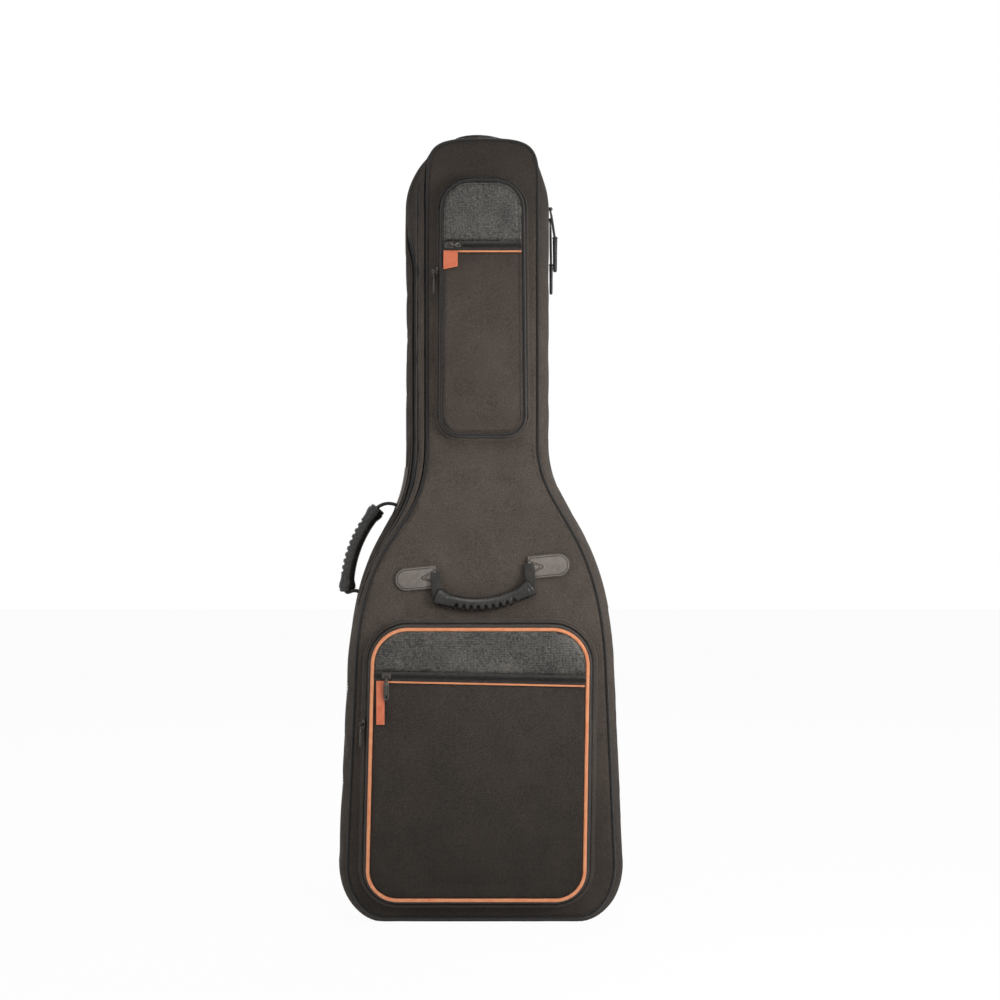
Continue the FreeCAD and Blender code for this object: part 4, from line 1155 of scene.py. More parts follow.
def make_pocket_face(pocket, body_cloth, body_strip, names, nodes):
    """The face: cloth below the zip, the zip's strip, and embossed vinyl above it."""
    edge = pocket.loop(-pocket.piping_r * 0.6, 0.004)
    tilt = np.array((-pocket.slope, 1.0))
    tilt /= np.linalg.norm(tilt)
    low_line = (0.0, pocket.zip_z - ZIP_STRIP / 2 + 0.0012)
    high_line = (0.0, pocket.zip_z + ZIP_STRIP / 2 - 0.0012)
    below = resample(clipped(edge, low_line, -tilt), 0.004, closed=True)
    above = resample(clipped(edge, high_line, tilt), 0.004, closed=True)
    big = pocket.depth > 0.025
    material, sag, seed = (POCKET_CLOTH, 0.0055, 31) if big else (UPPER_CLOTH, 0.0030, 37)
    y = pocket.face_y
    cloth = cloth_face(names[0], below, y, -1, material, crown=0.0030, reach=0.012, sag=sag, seed=seed)
    if big:
        pinned = np.zeros(len(cloth.data.vertices))
        pinned[:len(below)] = 1
        simulate(cloth, pinned, pressure=0.9, cap=0.003, slack=0.012, stiff=15, bend=0.6)
    place(solid_cloth(cloth), body_cloth, "pocket_fabric", nodes[0], fill=0.3)
    vinyl = cloth_face(names[1], above, y - 0.0006, -1, VINYL, crown=0.0024, reach=0.009,
                       sag=0.0030, seed=41)
    place(thicken(vinyl, POCKET_CLOTH_THICK), body_strip, "embossed_vinyl", nodes[1], fill=0.3)
    left = pocket.edge_x(-1, pocket.zip_z) + pocket.piping_r
    right = pocket.edge_x(1, pocket.zip_z) - pocket.piping_r
    line = pocket.zip_line(left, right, 60, y - 0.0002)
    strip = band(names[2], line, ZIP_STRIP, 0.0009, FRONT_TAPE, FRONT)
    place(strip, body_strip, "zip_tape", nodes[2])
    teeth = zip_coil(names[2] + "_teeth", line - (0, 0.0009, 0), FRONT, 0.0046)
    place(teeth, body_strip, "zip_tape")
    for label, shift in (("above", 1), ("below", -1)):
        row = line[1:-1] + (0, -0.0024, shift * (ZIP_STRIP / 2 + 0.0016))
        sewn = stitches(names[2] + "_stitches_" + label, row, FRONT, THREAD, pitch=0.0036)
        place(sewn, body_strip, "pocket_fabric")
    return right


def make_trim(pocket, body, start_x, end_x, node, name):
    drop = ZIP_STRIP / 2 + TRIM_R + 0.0003
    path = pocket.zip_line(start_x, end_x, 40, pocket.face_y - 0.0029, drop)
    cord = sweep(name, path, TRIM_R, ORANGE_PIPING, up=FRONT, sides=8)
    place(cord, body, "orange_piping", [node])


def make_label(node, name, body, taper=0.0):
    """A folded cloth tag with a stitched top, left bare."""
    low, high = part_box(node)
    rows, columns = 26, 12
    points = []
    for v in np.linspace(0, 1, rows):
        for u in np.linspace(0, 1, columns):
            curl = 0.0008 * math.sin(math.pi * v) + 0.0012 * v * (u - 0.4) ** 2
            z = lerp(high.z, low.z, v) + taper * u * v
            points.append((lerp(low.x, high.x, u), high.y - 0.0030 - curl, z))
    tag = add_mesh(name, points, grid_faces(rows, columns, closed_columns=False), LABEL)
    bevelled(thicken(tag, high.y - low.y, offset=0), 0.0003, 2)
    place(tag, body, "orange_label", [node])
    y, z = high.y - 0.0037, high.z - 0.0016
    row = [(low.x + 0.001, y, z), (high.x - 0.001, y, z)]
    sewn = stitches(name + "_stitches", row, FRONT, LABEL, pitch=0.0024, length=0.0018)
    place(sewn, body, "orange_label")


def make_lower_pocket():
    pocket = lower_pocket()
    split = FLAP_ZIP_REACH
    edge = pocket.depth - pocket.piping_r * 0.5
    bending = flap_blend(pocket.face_y)
    make_pocket_gusset(pocket, (-0.0002, split - 0.0022), "lower_gusset_back", "lid",
                       ["lower_pocket_gusset"], 51)
    make_pocket_gusset(pocket, (split + 0.0022, edge), "lower_gusset_front", bending,
                       ["flap_gusset"], 57)
    pocket.side_tape("lower_side_tape", split - TAPE_HALF, split - 0.0001, LOWER_TAPE_SUNK, 61, "lid")
    pocket.side_tape("flap_side_tape", split + 0.0001, split + TAPE_HALF, LOWER_TAPE_SUNK, 61, bending)
    halves = (("lower", -1, "lid"), ("flap", 1, "pocket_flap"))
    for prefix, way, body in halves:
        path, ups = pocket.run_at(split + way * 0.0011, FLAP_BEND[1], -LOWER_TAPE_SUNK)
        tooth = bead(0.0014, 0.0026, 0.0018, 0.0008)
        teeth = repeat_along(prefix + "_side_teeth", path, ups, 0.0022, *tooth, ZIP_TEETH,
                             start=0.5 + way * 0.25)
        place(teeth, body, "zip_tape")
    for prefix, way, body in halves:
        path, ups = pocket.run_at(split + way * 0.0048, FLAP_BEND[1], 0.0012)
        place(stitches(prefix + "_gusset_stitches", path, ups, THREAD), body, "pocket_fabric")
    zip_end = make_pocket_face(pocket, bending, "pocket_flap",
                               ("lower_face_cloth", "flap_vinyl_skin", "flap_zip_strip"),
                               (["lower_pocket_face", "flap_face"], ["flap_vinyl"], ["flap_zip"]))
    cord = sweep("lower_piping_cord", lift(pocket.loop(0.0, 0.0036), pocket.face_y - 0.0004),
                 pocket.piping_r * 1.06, ORANGE_PIPING, closed=True, sides=12)
    place(cord, bending, "orange_piping", ["lower_pocket_piping", "flap_piping"])
    lip = sweep("lower_piping_lip", lift(pocket.loop(0.0028), pocket.face_y + 0.0012), 0.0012,
                DARK_PIPING, closed=True, sides=8)
    place(lip, bending, "dark_piping")
    trim_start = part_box("flap_label")[1].x + 0.001
    make_trim(pocket, "pocket_flap", trim_start, zip_end - 0.002, "flap_trim", "flap_trim_cord")
    make_label("flap_label", "flap_label_tag", "pocket_flap")


def make_upper_pocket():
    pocket = upper_pocket()
    middle = pocket.depth / 2
    edge = pocket.depth - pocket.piping_r * 0.4
    for name, reaches, nodes, seed in (
            ("upper_gusset_back", (-0.0002, middle - 0.0020), ["upper_pocket_gusset"], 71),
            ("upper_gusset_front", (middle + 0.0020, edge), [], 73)):
        make_pocket_gusset(pocket, reaches, name, "lid", nodes, seed, rows=6, swell=0.0008)
    pocket.side_tape("upper_side_tape", middle - TAPE_HALF, middle + TAPE_HALF, UPPER_TAPE_SUNK, 75, "lid")
    path, ups = pocket.run_at(middle, NECK_BASE_Z + 0.03, -UPPER_TAPE_SUNK)
    place(zip_coil("upper_side_teeth", path, ups, 0.005), "lid", "zip_tape")
    zip_end = make_pocket_face(pocket, "lid", "lid",
                               ("upper_face_cloth", "upper_vinyl_skin", "upper_zip_strip"),
                               (["upper_pocket_face"], ["upper_pocket_vinyl"], ["upper_pocket_zip"]))
    cord = sweep("upper_piping_cord", lift(pocket.loop(0.0, 0.0036), pocket.face_y - 0.0003),
                 pocket.piping_r * 1.1, DARK_PIPING, closed=True)
    place(cord, "lid", "dark_piping", ["upper_pocket_piping"])
    seam = lift(pocket.loop(-0.0055), pocket.face_y - 0.0018)
    row = stitches("upper_face_stitches", seam, FRONT, THREAD, closed=True)
    place(row, "lid", "pocket_fabric")
    trim_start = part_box("upper_pocket_label")[1].x + 0.0006
    make_trim(pocket, "lid", trim_start, zip_end - 0.001, "upper_pocket_trim", "upper_trim_cord")
    make_label("upper_pocket_label", "upper_label_tag", "lid", taper=0.004)


# ---------------------------------------------------------------- front handle
HANDLE_TILT = math.radians(-5.5)
PIVOT_SPACING = 0.130
PATCH_LENGTH, PATCH_HEIGHT = 0.056, 0.031
GRIP_CHORD, GRIP_SAG, GRIP_DROP = 0.120, 0.015, 0.027
GRIP_R = 0.0090
GRIP_SQUASH = 0.72
GRIP_NOTCHES = 9
FRONT_CUFF = (0.0118, 0.0074)
FRONT_WEBBING = (0.0135, 0.0022)
DENT_DEPTH, DENT_SIZE = 0.0019, 0.020
DENT_SPREAD, DENT_RISE = 0.485 * GRIP_CHORD, 0.0235  # where the lifted handle's ends press the panel
PATCH_BASE = 0.0034  # the patches lie on the panel's padding


def handle_frame():
    """The handle's own axes: origin midway between its pivots, on the panel, X along them."""
    pivot = joints["front_handle_hinge"]["pos_m"]
    return Matrix.Translation((pivot[0], FACE_Y, pivot[2])) @ Matrix.Rotation(HANDLE_TILT, 4, "Y")


def moved(obj, matrix):
    obj.data.transform(matrix)
    obj.data.update()
    return obj


def plate(name, loop, low, high, rim, material):
    """A flat piece that lies on the cloth, standing from low to high out of it."""
    return prism(name, loop, low, high, material, rim, axis="-y")


def through(matrix, points):
    return np.array([tuple(matrix @ Vector(p)) for p in points])


def arc_through(first, middle, last, count):
    """Evenly spaced points on the circle arc through three points."""
    a, b, c = (Vector(p) for p in (first, middle, last))
    across, other = b - a, c - a
    normal = across.cross(other)
    to_centre = other.length_squared * normal.cross(across) + across.length_squared * other.cross(normal)
    to_centre /= 2 * normal.length_squared
    centre = a + to_centre
    u = (a - centre).normalized()
    v = normal.normalized().cross(u)
    end = math.atan2((c - centre).dot(v), (c - centre).dot(u)) % (2 * math.pi)
    angles = np.linspace(0, end, count)[:, None]
    turned = np.cos(angles) * np.array(u) + np.sin(angles) * np.array(v)
    return np.array(centre) + (a - centre).length * turned


def patch_loop(side, grow=0.0):
    """One patch's outline: square by the handle and round at its outer end."""
    inner = side * (PIVOT_SPACING / 2 - 0.004)
    radius = PATCH_HEIGHT / 2 + grow
    centre = inner + side * (PATCH_LENGTH - PATCH_HEIGHT / 2)
    points = [(inner - side * grow, -radius), (inner - side * grow, radius)]
    for angle in np.linspace(math.pi / 2, -math.pi / 2, 25):
        points.append((centre + side * radius * math.cos(angle), radius * math.sin(angle)))
    return anticlockwise(resample(np.array(points[::-1]), 0.0022, closed=True))


def arrow_loop(side, grow=0.0):
    """The webbing's sewn end: a triangle that points along the patch."""
    inner = side * (PIVOT_SPACING / 2 - 0.0035)
    apex = side * (PIVOT_SPACING / 2 + 0.0150)
    half = 0.0088
    points = [(inner, -half), (apex, -0.0012), (apex, 0.0012), (inner, half)]
    loop = rounded_loop(points if side > 0 else points[::-1], [0.0009] * 4, 0.0014)
    centre = loop.mean(0)
    return centre + (loop - centre) * (1 + grow / 0.0065)


def make_patches():
    matrix = handle_frame()
    pieces, sewn = [], []
    top = PATCH_BASE + 0.0019
    for side in SIDE_NAMES:
        pieces.append(plate("patch", patch_loop(side), PATCH_BASE, top, 0.0008, PATCH))
        pieces.append(plate("arrow", arrow_loop(side), top - 0.0002, top + 0.0013, 0.0006, PATCH))
        rows = ((patch_loop(side, -0.0032), top), (patch_loop(side, -0.0008), top - 0.0003),
                (arrow_loop(side, -0.0018), top + 0.0013), (arrow_loop(side, 0.0006), top + 0.0001))
        for loop, height in rows:
            row = through(matrix, lift(loop, -height))
            sewn.append(stitches("row", row, FRONT, PATCH_THREAD, closed=True, pitch=0.0026,
                                 length=0.0022, radius=0.00055))
    place(moved(join("handle_patch_leather", pieces), matrix), "lid", "patch_leather", ["handle_patches"])
    place(join("handle_patch_stitches", sewn), "lid", "patch_leather")


def grip_radius(radius, squash, plain, facing, depth):
    """Half sizes of a moulded grip: plain flared ends, and notches on the side it faces."""
    def at(share, angle):
        end = min(share, 1 - share)
        flare = 1 + 0.22 * math.exp(-((end / 0.09) ** 4))
        tip = 0.6 + 0.4 * min(1.0, end / 0.010) ** 0.5
        size = radius * flare * tip
        if plain < share < 1 - plain:
            turn = (share - plain) / (1 - 2 * plain) * GRIP_NOTCHES
            pulse = min(1.0, max(0.0, (math.cos(2 * math.pi * (turn - 0.5)) - 0.05) / 0.4))
            outer = max(0.0, math.cos(angle - facing)) ** 0.35
            size *= 1 + outer * (0.05 - (depth + 0.05) * pulse)
        return size, size * squash
    return at


def cuff_radius(wide, deep):
    """Half sizes of a grip's end cuff, with rounded rims."""
    def at(share, _):
        rim = min(1.0, min(share, 1 - share) / 0.25)
        full = 0.86 + 0.14 * math.sqrt(1 - (1 - rim) ** 2)
        return wide * full, deep * full
    return at


def make_front_handle():
    matrix = handle_frame()
    pivot_y = joints["front_handle_hinge"]["pos_m"][1] - FACE_Y
    y = pivot_y - 0.0064
    half = GRIP_CHORD / 2
    path = arc_through((-half, y, -GRIP_DROP), (0, y, -GRIP_DROP - GRIP_SAG), (half, y, -GRIP_DROP), 150)
    radius = grip_radius(GRIP_R, GRIP_SQUASH, 0.16, facing=math.pi, depth=0.46)
    rod = sweep("front_grip_rubber", through(matrix, path), radius, GRIP, up=FRONT, sides=28)
    place(rod, "front_handle", "grip_rubber", ["front_handle_grip"])
    collars = []
    for side in SIDE_NAMES:
        end, inner = (path[0], path[4]) if side < 0 else (path[-1], path[-5])
        away = (end - inner) / np.linalg.norm(end - inner)
        root = np.array((side * (PIVOT_SPACING / 2 - 0.0035), pivot_y + 0.0026, 0.006))
        hold = end + away * 0.001
        bend = (root + hold) / 2 + (side * 0.003, -0.0035, 0.004)
        run = through(matrix, bezier([root, bend, hold], 22, last=True))
        strap = band("front_webbing_" + SIDE_NAMES[side], run, *FRONT_WEBBING, WEBBING, FRONT, crown=0.0003)
        place(strap, ("lid", "front_handle", tuple(run[1]), tuple(run[-4])), "webbing",
              ["front_handle_webbing"])
        cuff_path = through(matrix, np.linspace(end - away * 0.004, end + away * 0.0045, 10))
        collars.append(sweep("cuff", cuff_path, cuff_radius(*FRONT_CUFF), GRIP, up=FRONT, sides=24))
    place(join("front_grip_cuffs", collars), "front_handle", "grip_rubber")


# ---------------------------------------------------------------- side handle
SIDE_Y = 0.020
SIDE_WIDTH = 0.022
SIDE_ROOTS_Z = (0.558, 0.441)
SIDE_ANCHORS_Z = ((0.549, 0.608), (0.391, 0.450))
SIDE_GRIP_R = 0.0094
SIDE_GRIP_OUT = (0.0230, 0.0302, 0.0172)  # how far its top, middle and foot stand out
SIDE_CUFF = (0.0104, 0.0106)


def edge_at(z):
    """The widest outline's point on the left at height z, at the side handle's depth."""
    loop = parting_loop()
    left = loop[loop[:, 0] < NECK_OFFSET]
    order = np.argsort(left[:, 1])
    return Vector((float(np.interp(z, left[order, 1], left[order, 0])), SIDE_Y, z))


def make_side_handle():
    top, bottom = (edge_at(z) for z in SIDE_ROOTS_Z)
    along = (bottom - top).normalized()
    out = Vector((along.z, 0, -along.x))
    length = (bottom - top).length
    stops = (0.020, length * 0.62, length + 0.006)
    grip = [top + along * down + out * away for down, away in zip(stops, SIDE_GRIP_OUT)]
    path = arc_through(*grip, 150)
    radius = grip_radius(SIDE_GRIP_R, 1.0, 0.17, facing=0.0, depth=0.16)
    rod = sweep("side_grip_rubber", path, radius, GRIP, sides=24)
    place(rod, "side_handle", "grip_rubber", ["side_handle_grip"])
    cuffs = []
    for name, root, tip, inner, past in (("top", top, path[0], path[5], 0.005),
                                         ("bottom", bottom, path[-1], path[-6], 0.001)):
        away = (tip - inner) / np.linalg.norm(tip - inner)
        start = np.array(root + out * 0.0016 + along * past)
        line = bezier([start, start + np.array(out) * 0.012, tip + away * 0.007, tip], 26)
        strap = band("side_webbing_" + name, line, SIDE_WIDTH * 0.86, 0.0042, WEBBING, away, crown=0.0004)
        place(strap, ("back_half", "side_handle", tuple(line[3]), tuple(line[-4])), "webbing",
              ["side_handle_webbing"])
        cuff_path = np.linspace(tip - away * 0.005, tip + away * 0.0040, 11)
        cuffs.append(sweep("cuff", cuff_path, cuff_radius(*SIDE_CUFF), GRIP, sides=24))
    place(join("side_grip_cuffs", cuffs), "side_handle", "grip_rubber")
    make_side_anchors()


def make_side_anchors():
    """Leather anchors sewn flat on the gusset above and below the side handle."""
    loop = parting_loop()
    out = outward(loop)
    pieces, sewn = [], []
    for low, high in SIDE_ANCHORS_Z:
        chosen = (loop[:, 0] < -0.03) & (low < loop[:, 1]) & (loop[:, 1] < high)
        run, ups = loop[chosen], out[chosen]
        both = np.hstack((lift(run + ups * 0.0010, SIDE_Y), lift(ups, 0.0)))
        path, up = np.hsplit(resample(both, 0.003), 2)
        pieces.append(band("anchor", path, SIDE_WIDTH, 0.0015, PATCH, up))
        for shift in (-0.0085, 0.0085):
            row = path[1:-1] + up[1:-1] * 0.0013 + (0, shift, 0)
            sewn.append(stitches("row", row, up[1:-1], PATCH_THREAD, pitch=0.0032, length=0.0024))
    place(lean(join("side_anchor_leather", pieces)), "back_half", "webbing", ["side_handle_anchors"])
    place(lean(join("side_anchor_stitches", sewn)), "back_half", "webbing")


# ---------------------------------------------------------------- sliders and pulls
PIVOT_OUT = 0.0074
EYE_R = 0.00165
SLIDERS = (  # name, body and node
    ("head", "head_slider", "main_slider_upper"),
    ("neck", "neck_slider", "main_slider_lower"),
    ("upper_zip", "upper_zip_slider_body", "upper_zip_slider"),
    ("upper_side", "upper_side_slider_body", "upper_side_slider"),
    ("front_zip", "front_zip_slider_body", "front_zip_slider"),
    ("lower_side", "lower_side_slider_body", "lower_side_slider"),
)
CORD_PULLS = (  # name and node; how far the cord goes across, out and down; the sleeve's size
    ("head", "main_pull_upper", -0.0067, 0.0060, 0.042, 0.044, 0.0033),
    ("neck", "main_pull_lower", 0.0067, 0.0010, 0.062, 0.038, 0.0026),
)
TAB_PULLS = (  # name, length, width and size of the hole
    ("upper_zip", 0.016, 0.006, 0.0018),
    ("upper_side", 0.030, 0.006, 0.0022),
    ("front_zip", 0.032, 0.0075, 0.0034),
    ("lower_side", 0.030, 0.006, 0.0022),
)


def pull_frame(joint):
    """A pull's own axes: origin on its bar, X along the bar, Y out of the cloth, Z hanging down."""
    along = -Vector(joints[joint]["axis"])
    out = Vector(FRONT) if abs(along.z) > 0.5 else Vector((along.y, -along.x, 0))
    matrix = Matrix((along, out, along.cross(out))).transposed().to_4x4()
    matrix.translation = Vector(joints[joint]["pos_m"])
    return matrix


def make_slider(name, body, node, across=False):
    """Zip slider: two shaped plates, a rounded bridge, its lugs and the pull's bar."""
    shield = [(-0.0030, -0.0064), (0.0030, -0.0064), (0.0045, -0.0020), (0.0042, 0.0040),
              (0.0022, 0.0064), (-0.0022, 0.0064), (-0.0042, 0.0040), (-0.0045, -0.0020)]
    loop = rounded_loop(shield, [0.0010, 0.0010, 0.0015, 0.0015] * 2, 0.0007)
    foot = loop * (0.75, 0.96)
    if across:
        loop, foot = (np.stack((-flat[:, 1], flat[:, 0]), 1) for flat in (loop, foot))
    middle = PIVOT_OUT - 0.0026
    pieces = [plate("foot", foot, middle, PIVOT_OUT - 0.0004, 0.0005, SLIDER),
              plate("top", loop, 0.0029, middle, 0.0008, SLIDER)]
    arch = [(-0.0033, -0.0014), (-0.0012, -0.0013), (0.0006, -0.0006), (0.0008, 0.0005),
            (-0.0012, 0.0013), (-0.0033, 0.0014)]
    for x in (-0.0028, 0.0028):
        lug = resample([(x, y, z) for y, z in arch], 0.0006)
        pieces.append(sweep("lug", lug, 0.00062, SLIDER, up=(1, 0, 0), sides=8))
    bar = np.linspace((-0.0033, 0, 0), (0.0033, 0, 0), 9)
    pieces.append(sweep("bar", bar, 0.0008, SLIDER))
    slider = moved(join(name + "_slider_metal", pieces), pull_frame(name + "_pull_swing"))
    place(slider, body, "slider_metal", [node])


def eye_ring():
    """The closed eye of a pull, round the slider's bar."""
    angles = np.linspace(0, 2 * math.pi, 20, endpoint=False)
    path = np.stack((0 * angles, EYE_R * np.cos(angles), 0.0001 + EYE_R * np.sin(angles)), 1)
    return sweep("eye", path, lambda s, a: (0.0013, 0.00045), SLIDER, up=(1, 0, 0), closed=True)


def make_tab_pull(name, length, width, hole):
    """Flat metal tab with an oval hole and softened edges."""
    half = width / 2
    corners = [(half, 0.0082), (half, length), (-half, length), (-half, 0.0082)]
    loop = anticlockwise(rounded_loop(corners, [0.0009, half * 0.93, half * 0.93, 0.0009], 0.0008))
    away = loop - (0.0, length - half)
    angles = np.arctan2(away[:, 1], away[:, 0])
    inner = np.stack((np.cos(angles) * hole * 0.5, length - half + np.sin(angles) * hole * 0.7), 1)
    thick, rim = 0.0008, 0.0003
    slim = loop - outward(loop) * rim
    rings = [lift(flat, y) for flat, y in (
        (slim, thick), (loop, thick - rim), (loop, rim - thick), (slim, -thick),
        (inner, -thick + rim * 0.4), (inner, thick - rim * 0.4))]
    tab = loft("tab", rings, SLIDER, closed_rows=True)
    stem = sweep("stem", np.linspace((0, 0, 0.0018), (0, 0, 0.0092), 8),
                 lambda s, a: (0.0013 + 0.0004 * s, 0.0007), SLIDER)
    rib = sweep("rib", np.linspace((0, 0.0009, 0.0100), (0, 0.0009, length - half - hole), 8),
                lambda s, a: (half * 0.42, 0.0003), SLIDER)
    pull = moved(join(name + "_pull_tab", [eye_ring(), tab, stem, rib]), pull_frame(name + "_pull_swing"))
    place(pull, name + "_pull_body", "slider_metal", [name + "_pull"])


def make_cord_pull(name, node, shift, out, link, tube, tube_r):
    """A wire link, a doubled cord with a knot, and a ribbed moulded sleeve."""
    tip = np.array((shift, out, link))
    link_path = [(0, 0, 0.0016), (shift * 0.5, 0, 0.0030), (shift * 0.8, 0, 0.0042),
                 (shift, out * 0.2, 0.0100)]
    wire = sweep("link", resample(link_path, 0.0008), 0.0014, SLIDER, sides=8)
    cords = []
    start = np.array((shift * 0.97, out * 0.15, 0.0085))
    for side in SIDE_NAMES:
        middle = (start + tip) / 2 + (side * 0.0013, side * 0.0005, 0)
        run = bezier([start, middle, tip], 24, last=True)
        cords.append(sweep("cord", run, 0.0015, WEBBING, sides=8))
    knot = sweep("knot", np.linspace(tip - (0, 0, 0.0042), tip + (0, 0, 0.0008), 12),
                 lambda s, a: tube_r * (0.55 + 0.6 * math.sin(math.pi * s)), WEBBING, sides=12)

    def sleeve_radius(share, angle):
        rib = 0.10 * max(0.0, math.sin(share * math.pi * 22)) if 0.12 < share < 0.62 else 0.0
        end = 0.45 + 0.55 * min(1.0, (1 - share) / 0.05) ** 0.5
        return tube_r * (1.0 - 0.18 * share - rib) * end * (0.8 + 0.2 * min(1.0, share / 0.03))
    sleeve = sweep("sleeve", np.linspace(tip, tip + (0, 0, tube), 90), sleeve_radius, PULL, sides=14)
    pull = join(name + "_pull_cord", [eye_ring(), wire, *cords, knot, sleeve])
    place(moved(pull, pull_frame(name + "_pull_swing")), name + "_pull", "pull_rubber", [node])


def make_sliders():
    for name, body, node in SLIDERS:
        make_slider(name, body, node, across=name == "front_zip")
    for sizes in CORD_PULLS:
        make_cord_pull(*sizes)
    for sizes in TAB_PULLS:
        make_tab_pull(*sizes)


# ---------------------------------------------------------------- straps
STRAP_TOP = (0.034, 0.600)
STRAP_END = (0.100, 0.262)
STRAP_RING = (0.142, 0.112)
STRAP_OFF_BACK = 0.0065
RING_OFF = 0.0050  # the rings' middle stands this far off the back
STRAP_THICK = 0.010
STRAP_HALVES = (0.031, 0.023)  # half widths of a pad at its top and its end
STRAP_GROOVE = 0.0009


def make_strap(side):
    name = SIDE_NAMES[side]
    body = name + "_strap"
    y = BACK_Y + STRAP_OFF_BACK
    start = Vector((NECK_OFFSET / 2 + side * STRAP_TOP[0], y, STRAP_TOP[1]))
    end = Vector((side * STRAP_END[0], y, STRAP_END[1]))
    middle = (start + end) / 2 + Vector((side * 0.008, 0, 0))
    path = arc_through(start, middle, end, 100)
    shares = np.linspace(0, 1, len(path))
    widths = lerp(*STRAP_HALVES, shares)
    _, across, up = frames_along(path, BACK)
    angles = np.linspace(0, 2 * math.pi, 34, endpoint=False)
    flat, tall = (np.copysign(np.abs(turn) ** power, turn)
                  for turn, power in ((np.cos(angles), 0.72), (np.sin(angles), 0.62)))
    rings = []
    for point, share, width, aside, above in zip(path, shares, widths, across, up):
        taper = min(1.0, min(share, 1 - share) / 0.02) ** 0.5
        half = width * (0.86 + 0.14 * taper)
        quilt = STRAP_GROOVE * abs(math.sin(math.pi * share * 9)) ** 0.5
        wide = half * flat
        high = (STRAP_THICK / 2 - STRAP_GROOVE + quilt) * tall
        groove = STRAP_GROOVE * np.exp(-((np.abs(wide) - half * 0.62) / 0.0018) ** 2)
        high = (high - np.copysign(groove, high)) * (0.4 + 0.6 * taper) + STRAP_THICK / 2
        rings.append(point + aside * wide[:, None] + above * high[:, None])
    pad = loft(name + "_strap_padding", rings, BODY_CLOTH, caps=True)
    pad.data.materials.append(STRAP_MESH)
    for polygon in pad.data.polygons:
        if polygon.normal.y < -0.5:
            polygon.material_index = 1
    place(pad, body, "strap_pad", [name + "_strap_pad"], fill=0.8)
    sewn = []
    for shift in (-1, 1):
        aside = across * (shift * widths)[:, None]
        edge = path + aside * 0.995 + up * STRAP_THICK / 2
        groove = path + aside * 0.62 + up * (STRAP_THICK - 0.0012)
        sewn.append(sweep("binding", edge[2:-2], lambda s, a: (0.0016, 0.0026), DARK_PIPING))
        sewn.append(stitches("groove", groove[3:-3], BACK, THREAD))
    keeper = path + up * (STRAP_THICK + 0.0001)
    sewn.append(band("keeper", keeper[4:97], 0.025, 0.0016, WEBBING, BACK))
    for shift in (-0.0105, 0.0105):
        row = keeper[5:96] + across[5:96] * shift + (0, 0.0016, 0)
        sewn.append(stitches("keeper_row", row, BACK, THREAD))
    place(join(name + "_strap_trim", sewn), body, "strap_pad")
    make_strap_webbing(side, name, body, np.array(end))


def make_strap_webbing(side, name, body, end):
    """The lower webbing, from the pad through its ladder lock to the ring by the bottom corner."""
    foot = np.array((side * STRAP_RING[0], end[1], STRAP_RING[1]))
    run = (foot - end) / np.linalg.norm(foot - end)
    first = end - run * 0.006 + (0, 0.0058, 0)
    line = np.linspace(first, foot - run * 0.004 - (0, 0.0012, 0), 60)
    line[:, 1] += 0.0016 * np.sin(math.pi * np.minimum(1.0, np.linspace(0, 1, 60) / 0.35))
    web = band(name + "_webbing_run", line, 0.025, 0.0018, WEBBING, BACK, crown=0.0002)
    place(web, (body, "back_half", tuple(line[8]), tuple(line[-3])), "webbing", [name + "_strap_webbing"])
    spot = Vector(end + run * 0.024 + (0, 0.0061, 0))
    matrix = Matrix.Translation(spot) @ Matrix.Rotation(math.atan2(-run[0], -run[2]), 4, "Y")
    outer = lift(rectangle(-0.0195, -0.0145, 0.0195, 0.0145, 0.004, 0.0015) * 0.88, 0.0)
    parts = [sweep("frame", outer, lambda s, a: (0.0022, 0.0030), PLASTIC, closed=True, sides=12)]
    for z, r in ((-0.0035, 0.0021), (0.0040, 0.0017)):
        parts.append(sweep("bar", np.linspace((-0.0165, 0.0012, z), (0.0165, 0.0012, z), 12), r, PLASTIC))
    lock = moved(join(name + "_ladder_lock", parts), matrix)
    place(lock, body, "hard_plastic", [name + "_strap_buckle"])


def make_strap_fixings():
    low_z = STRAP_TOP[1] + 0.011
    half = STRAP_TOP[0] + STRAP_HALVES[0]
    centre = NECK_OFFSET / 2
    yoke = pillow("strap_yoke", (centre - half, BACK_Y + 0.0006, low_z),
                  (centre + half, BACK_Y + 0.0092, low_z + 0.034), BODY_CLOTH, 0.0042, crown=0.0012,
                  spacing=0.004, seed=6)
    place(yoke, "back_half", "strap_pad", ["strap_anchors"], fill=0.7)
    reach = half - 0.004
    border = rectangle(centre - reach, low_z + 0.004, centre + reach, low_z + 0.030, 0.004, 0.002)
    sewn = [stitches("border", lift(border, BACK_Y + 0.0094), BACK, PATCH_THREAD, closed=True)]
    for side in SIDE_NAMES:
        middle = np.array((centre + side * STRAP_TOP[0], BACK_Y + 0.0102, low_z + 0.017))
        for arm in ((-0.011, 0, 0.011), (0.011, 0, 0.011)):
            row = np.linspace(middle - arm, middle + arm, 14)
            sewn.append(stitches("cross", row, BACK, PATCH_THREAD))
    place(join("yoke_stitches", sewn), "back_half", "strap_pad")
    for side, name in SIDE_NAMES.items():
        x = centre + side * STRAP_TOP[0]
        neck = np.linspace((x, BACK_Y + 0.0060, low_z + 0.006),
                           (x + side * 0.001, BACK_Y + STRAP_OFF_BACK + 0.004, STRAP_TOP[1] - 0.006), 20)
        tab = band(name + "_strap_root", neck, 0.050, 0.0032, BODY_CLOTH, BACK, crown=0.0004)
        place(tab, ("back_half", name + "_strap", tuple(neck[4]), tuple(neck[-4])), "strap_pad")
    make_rings()


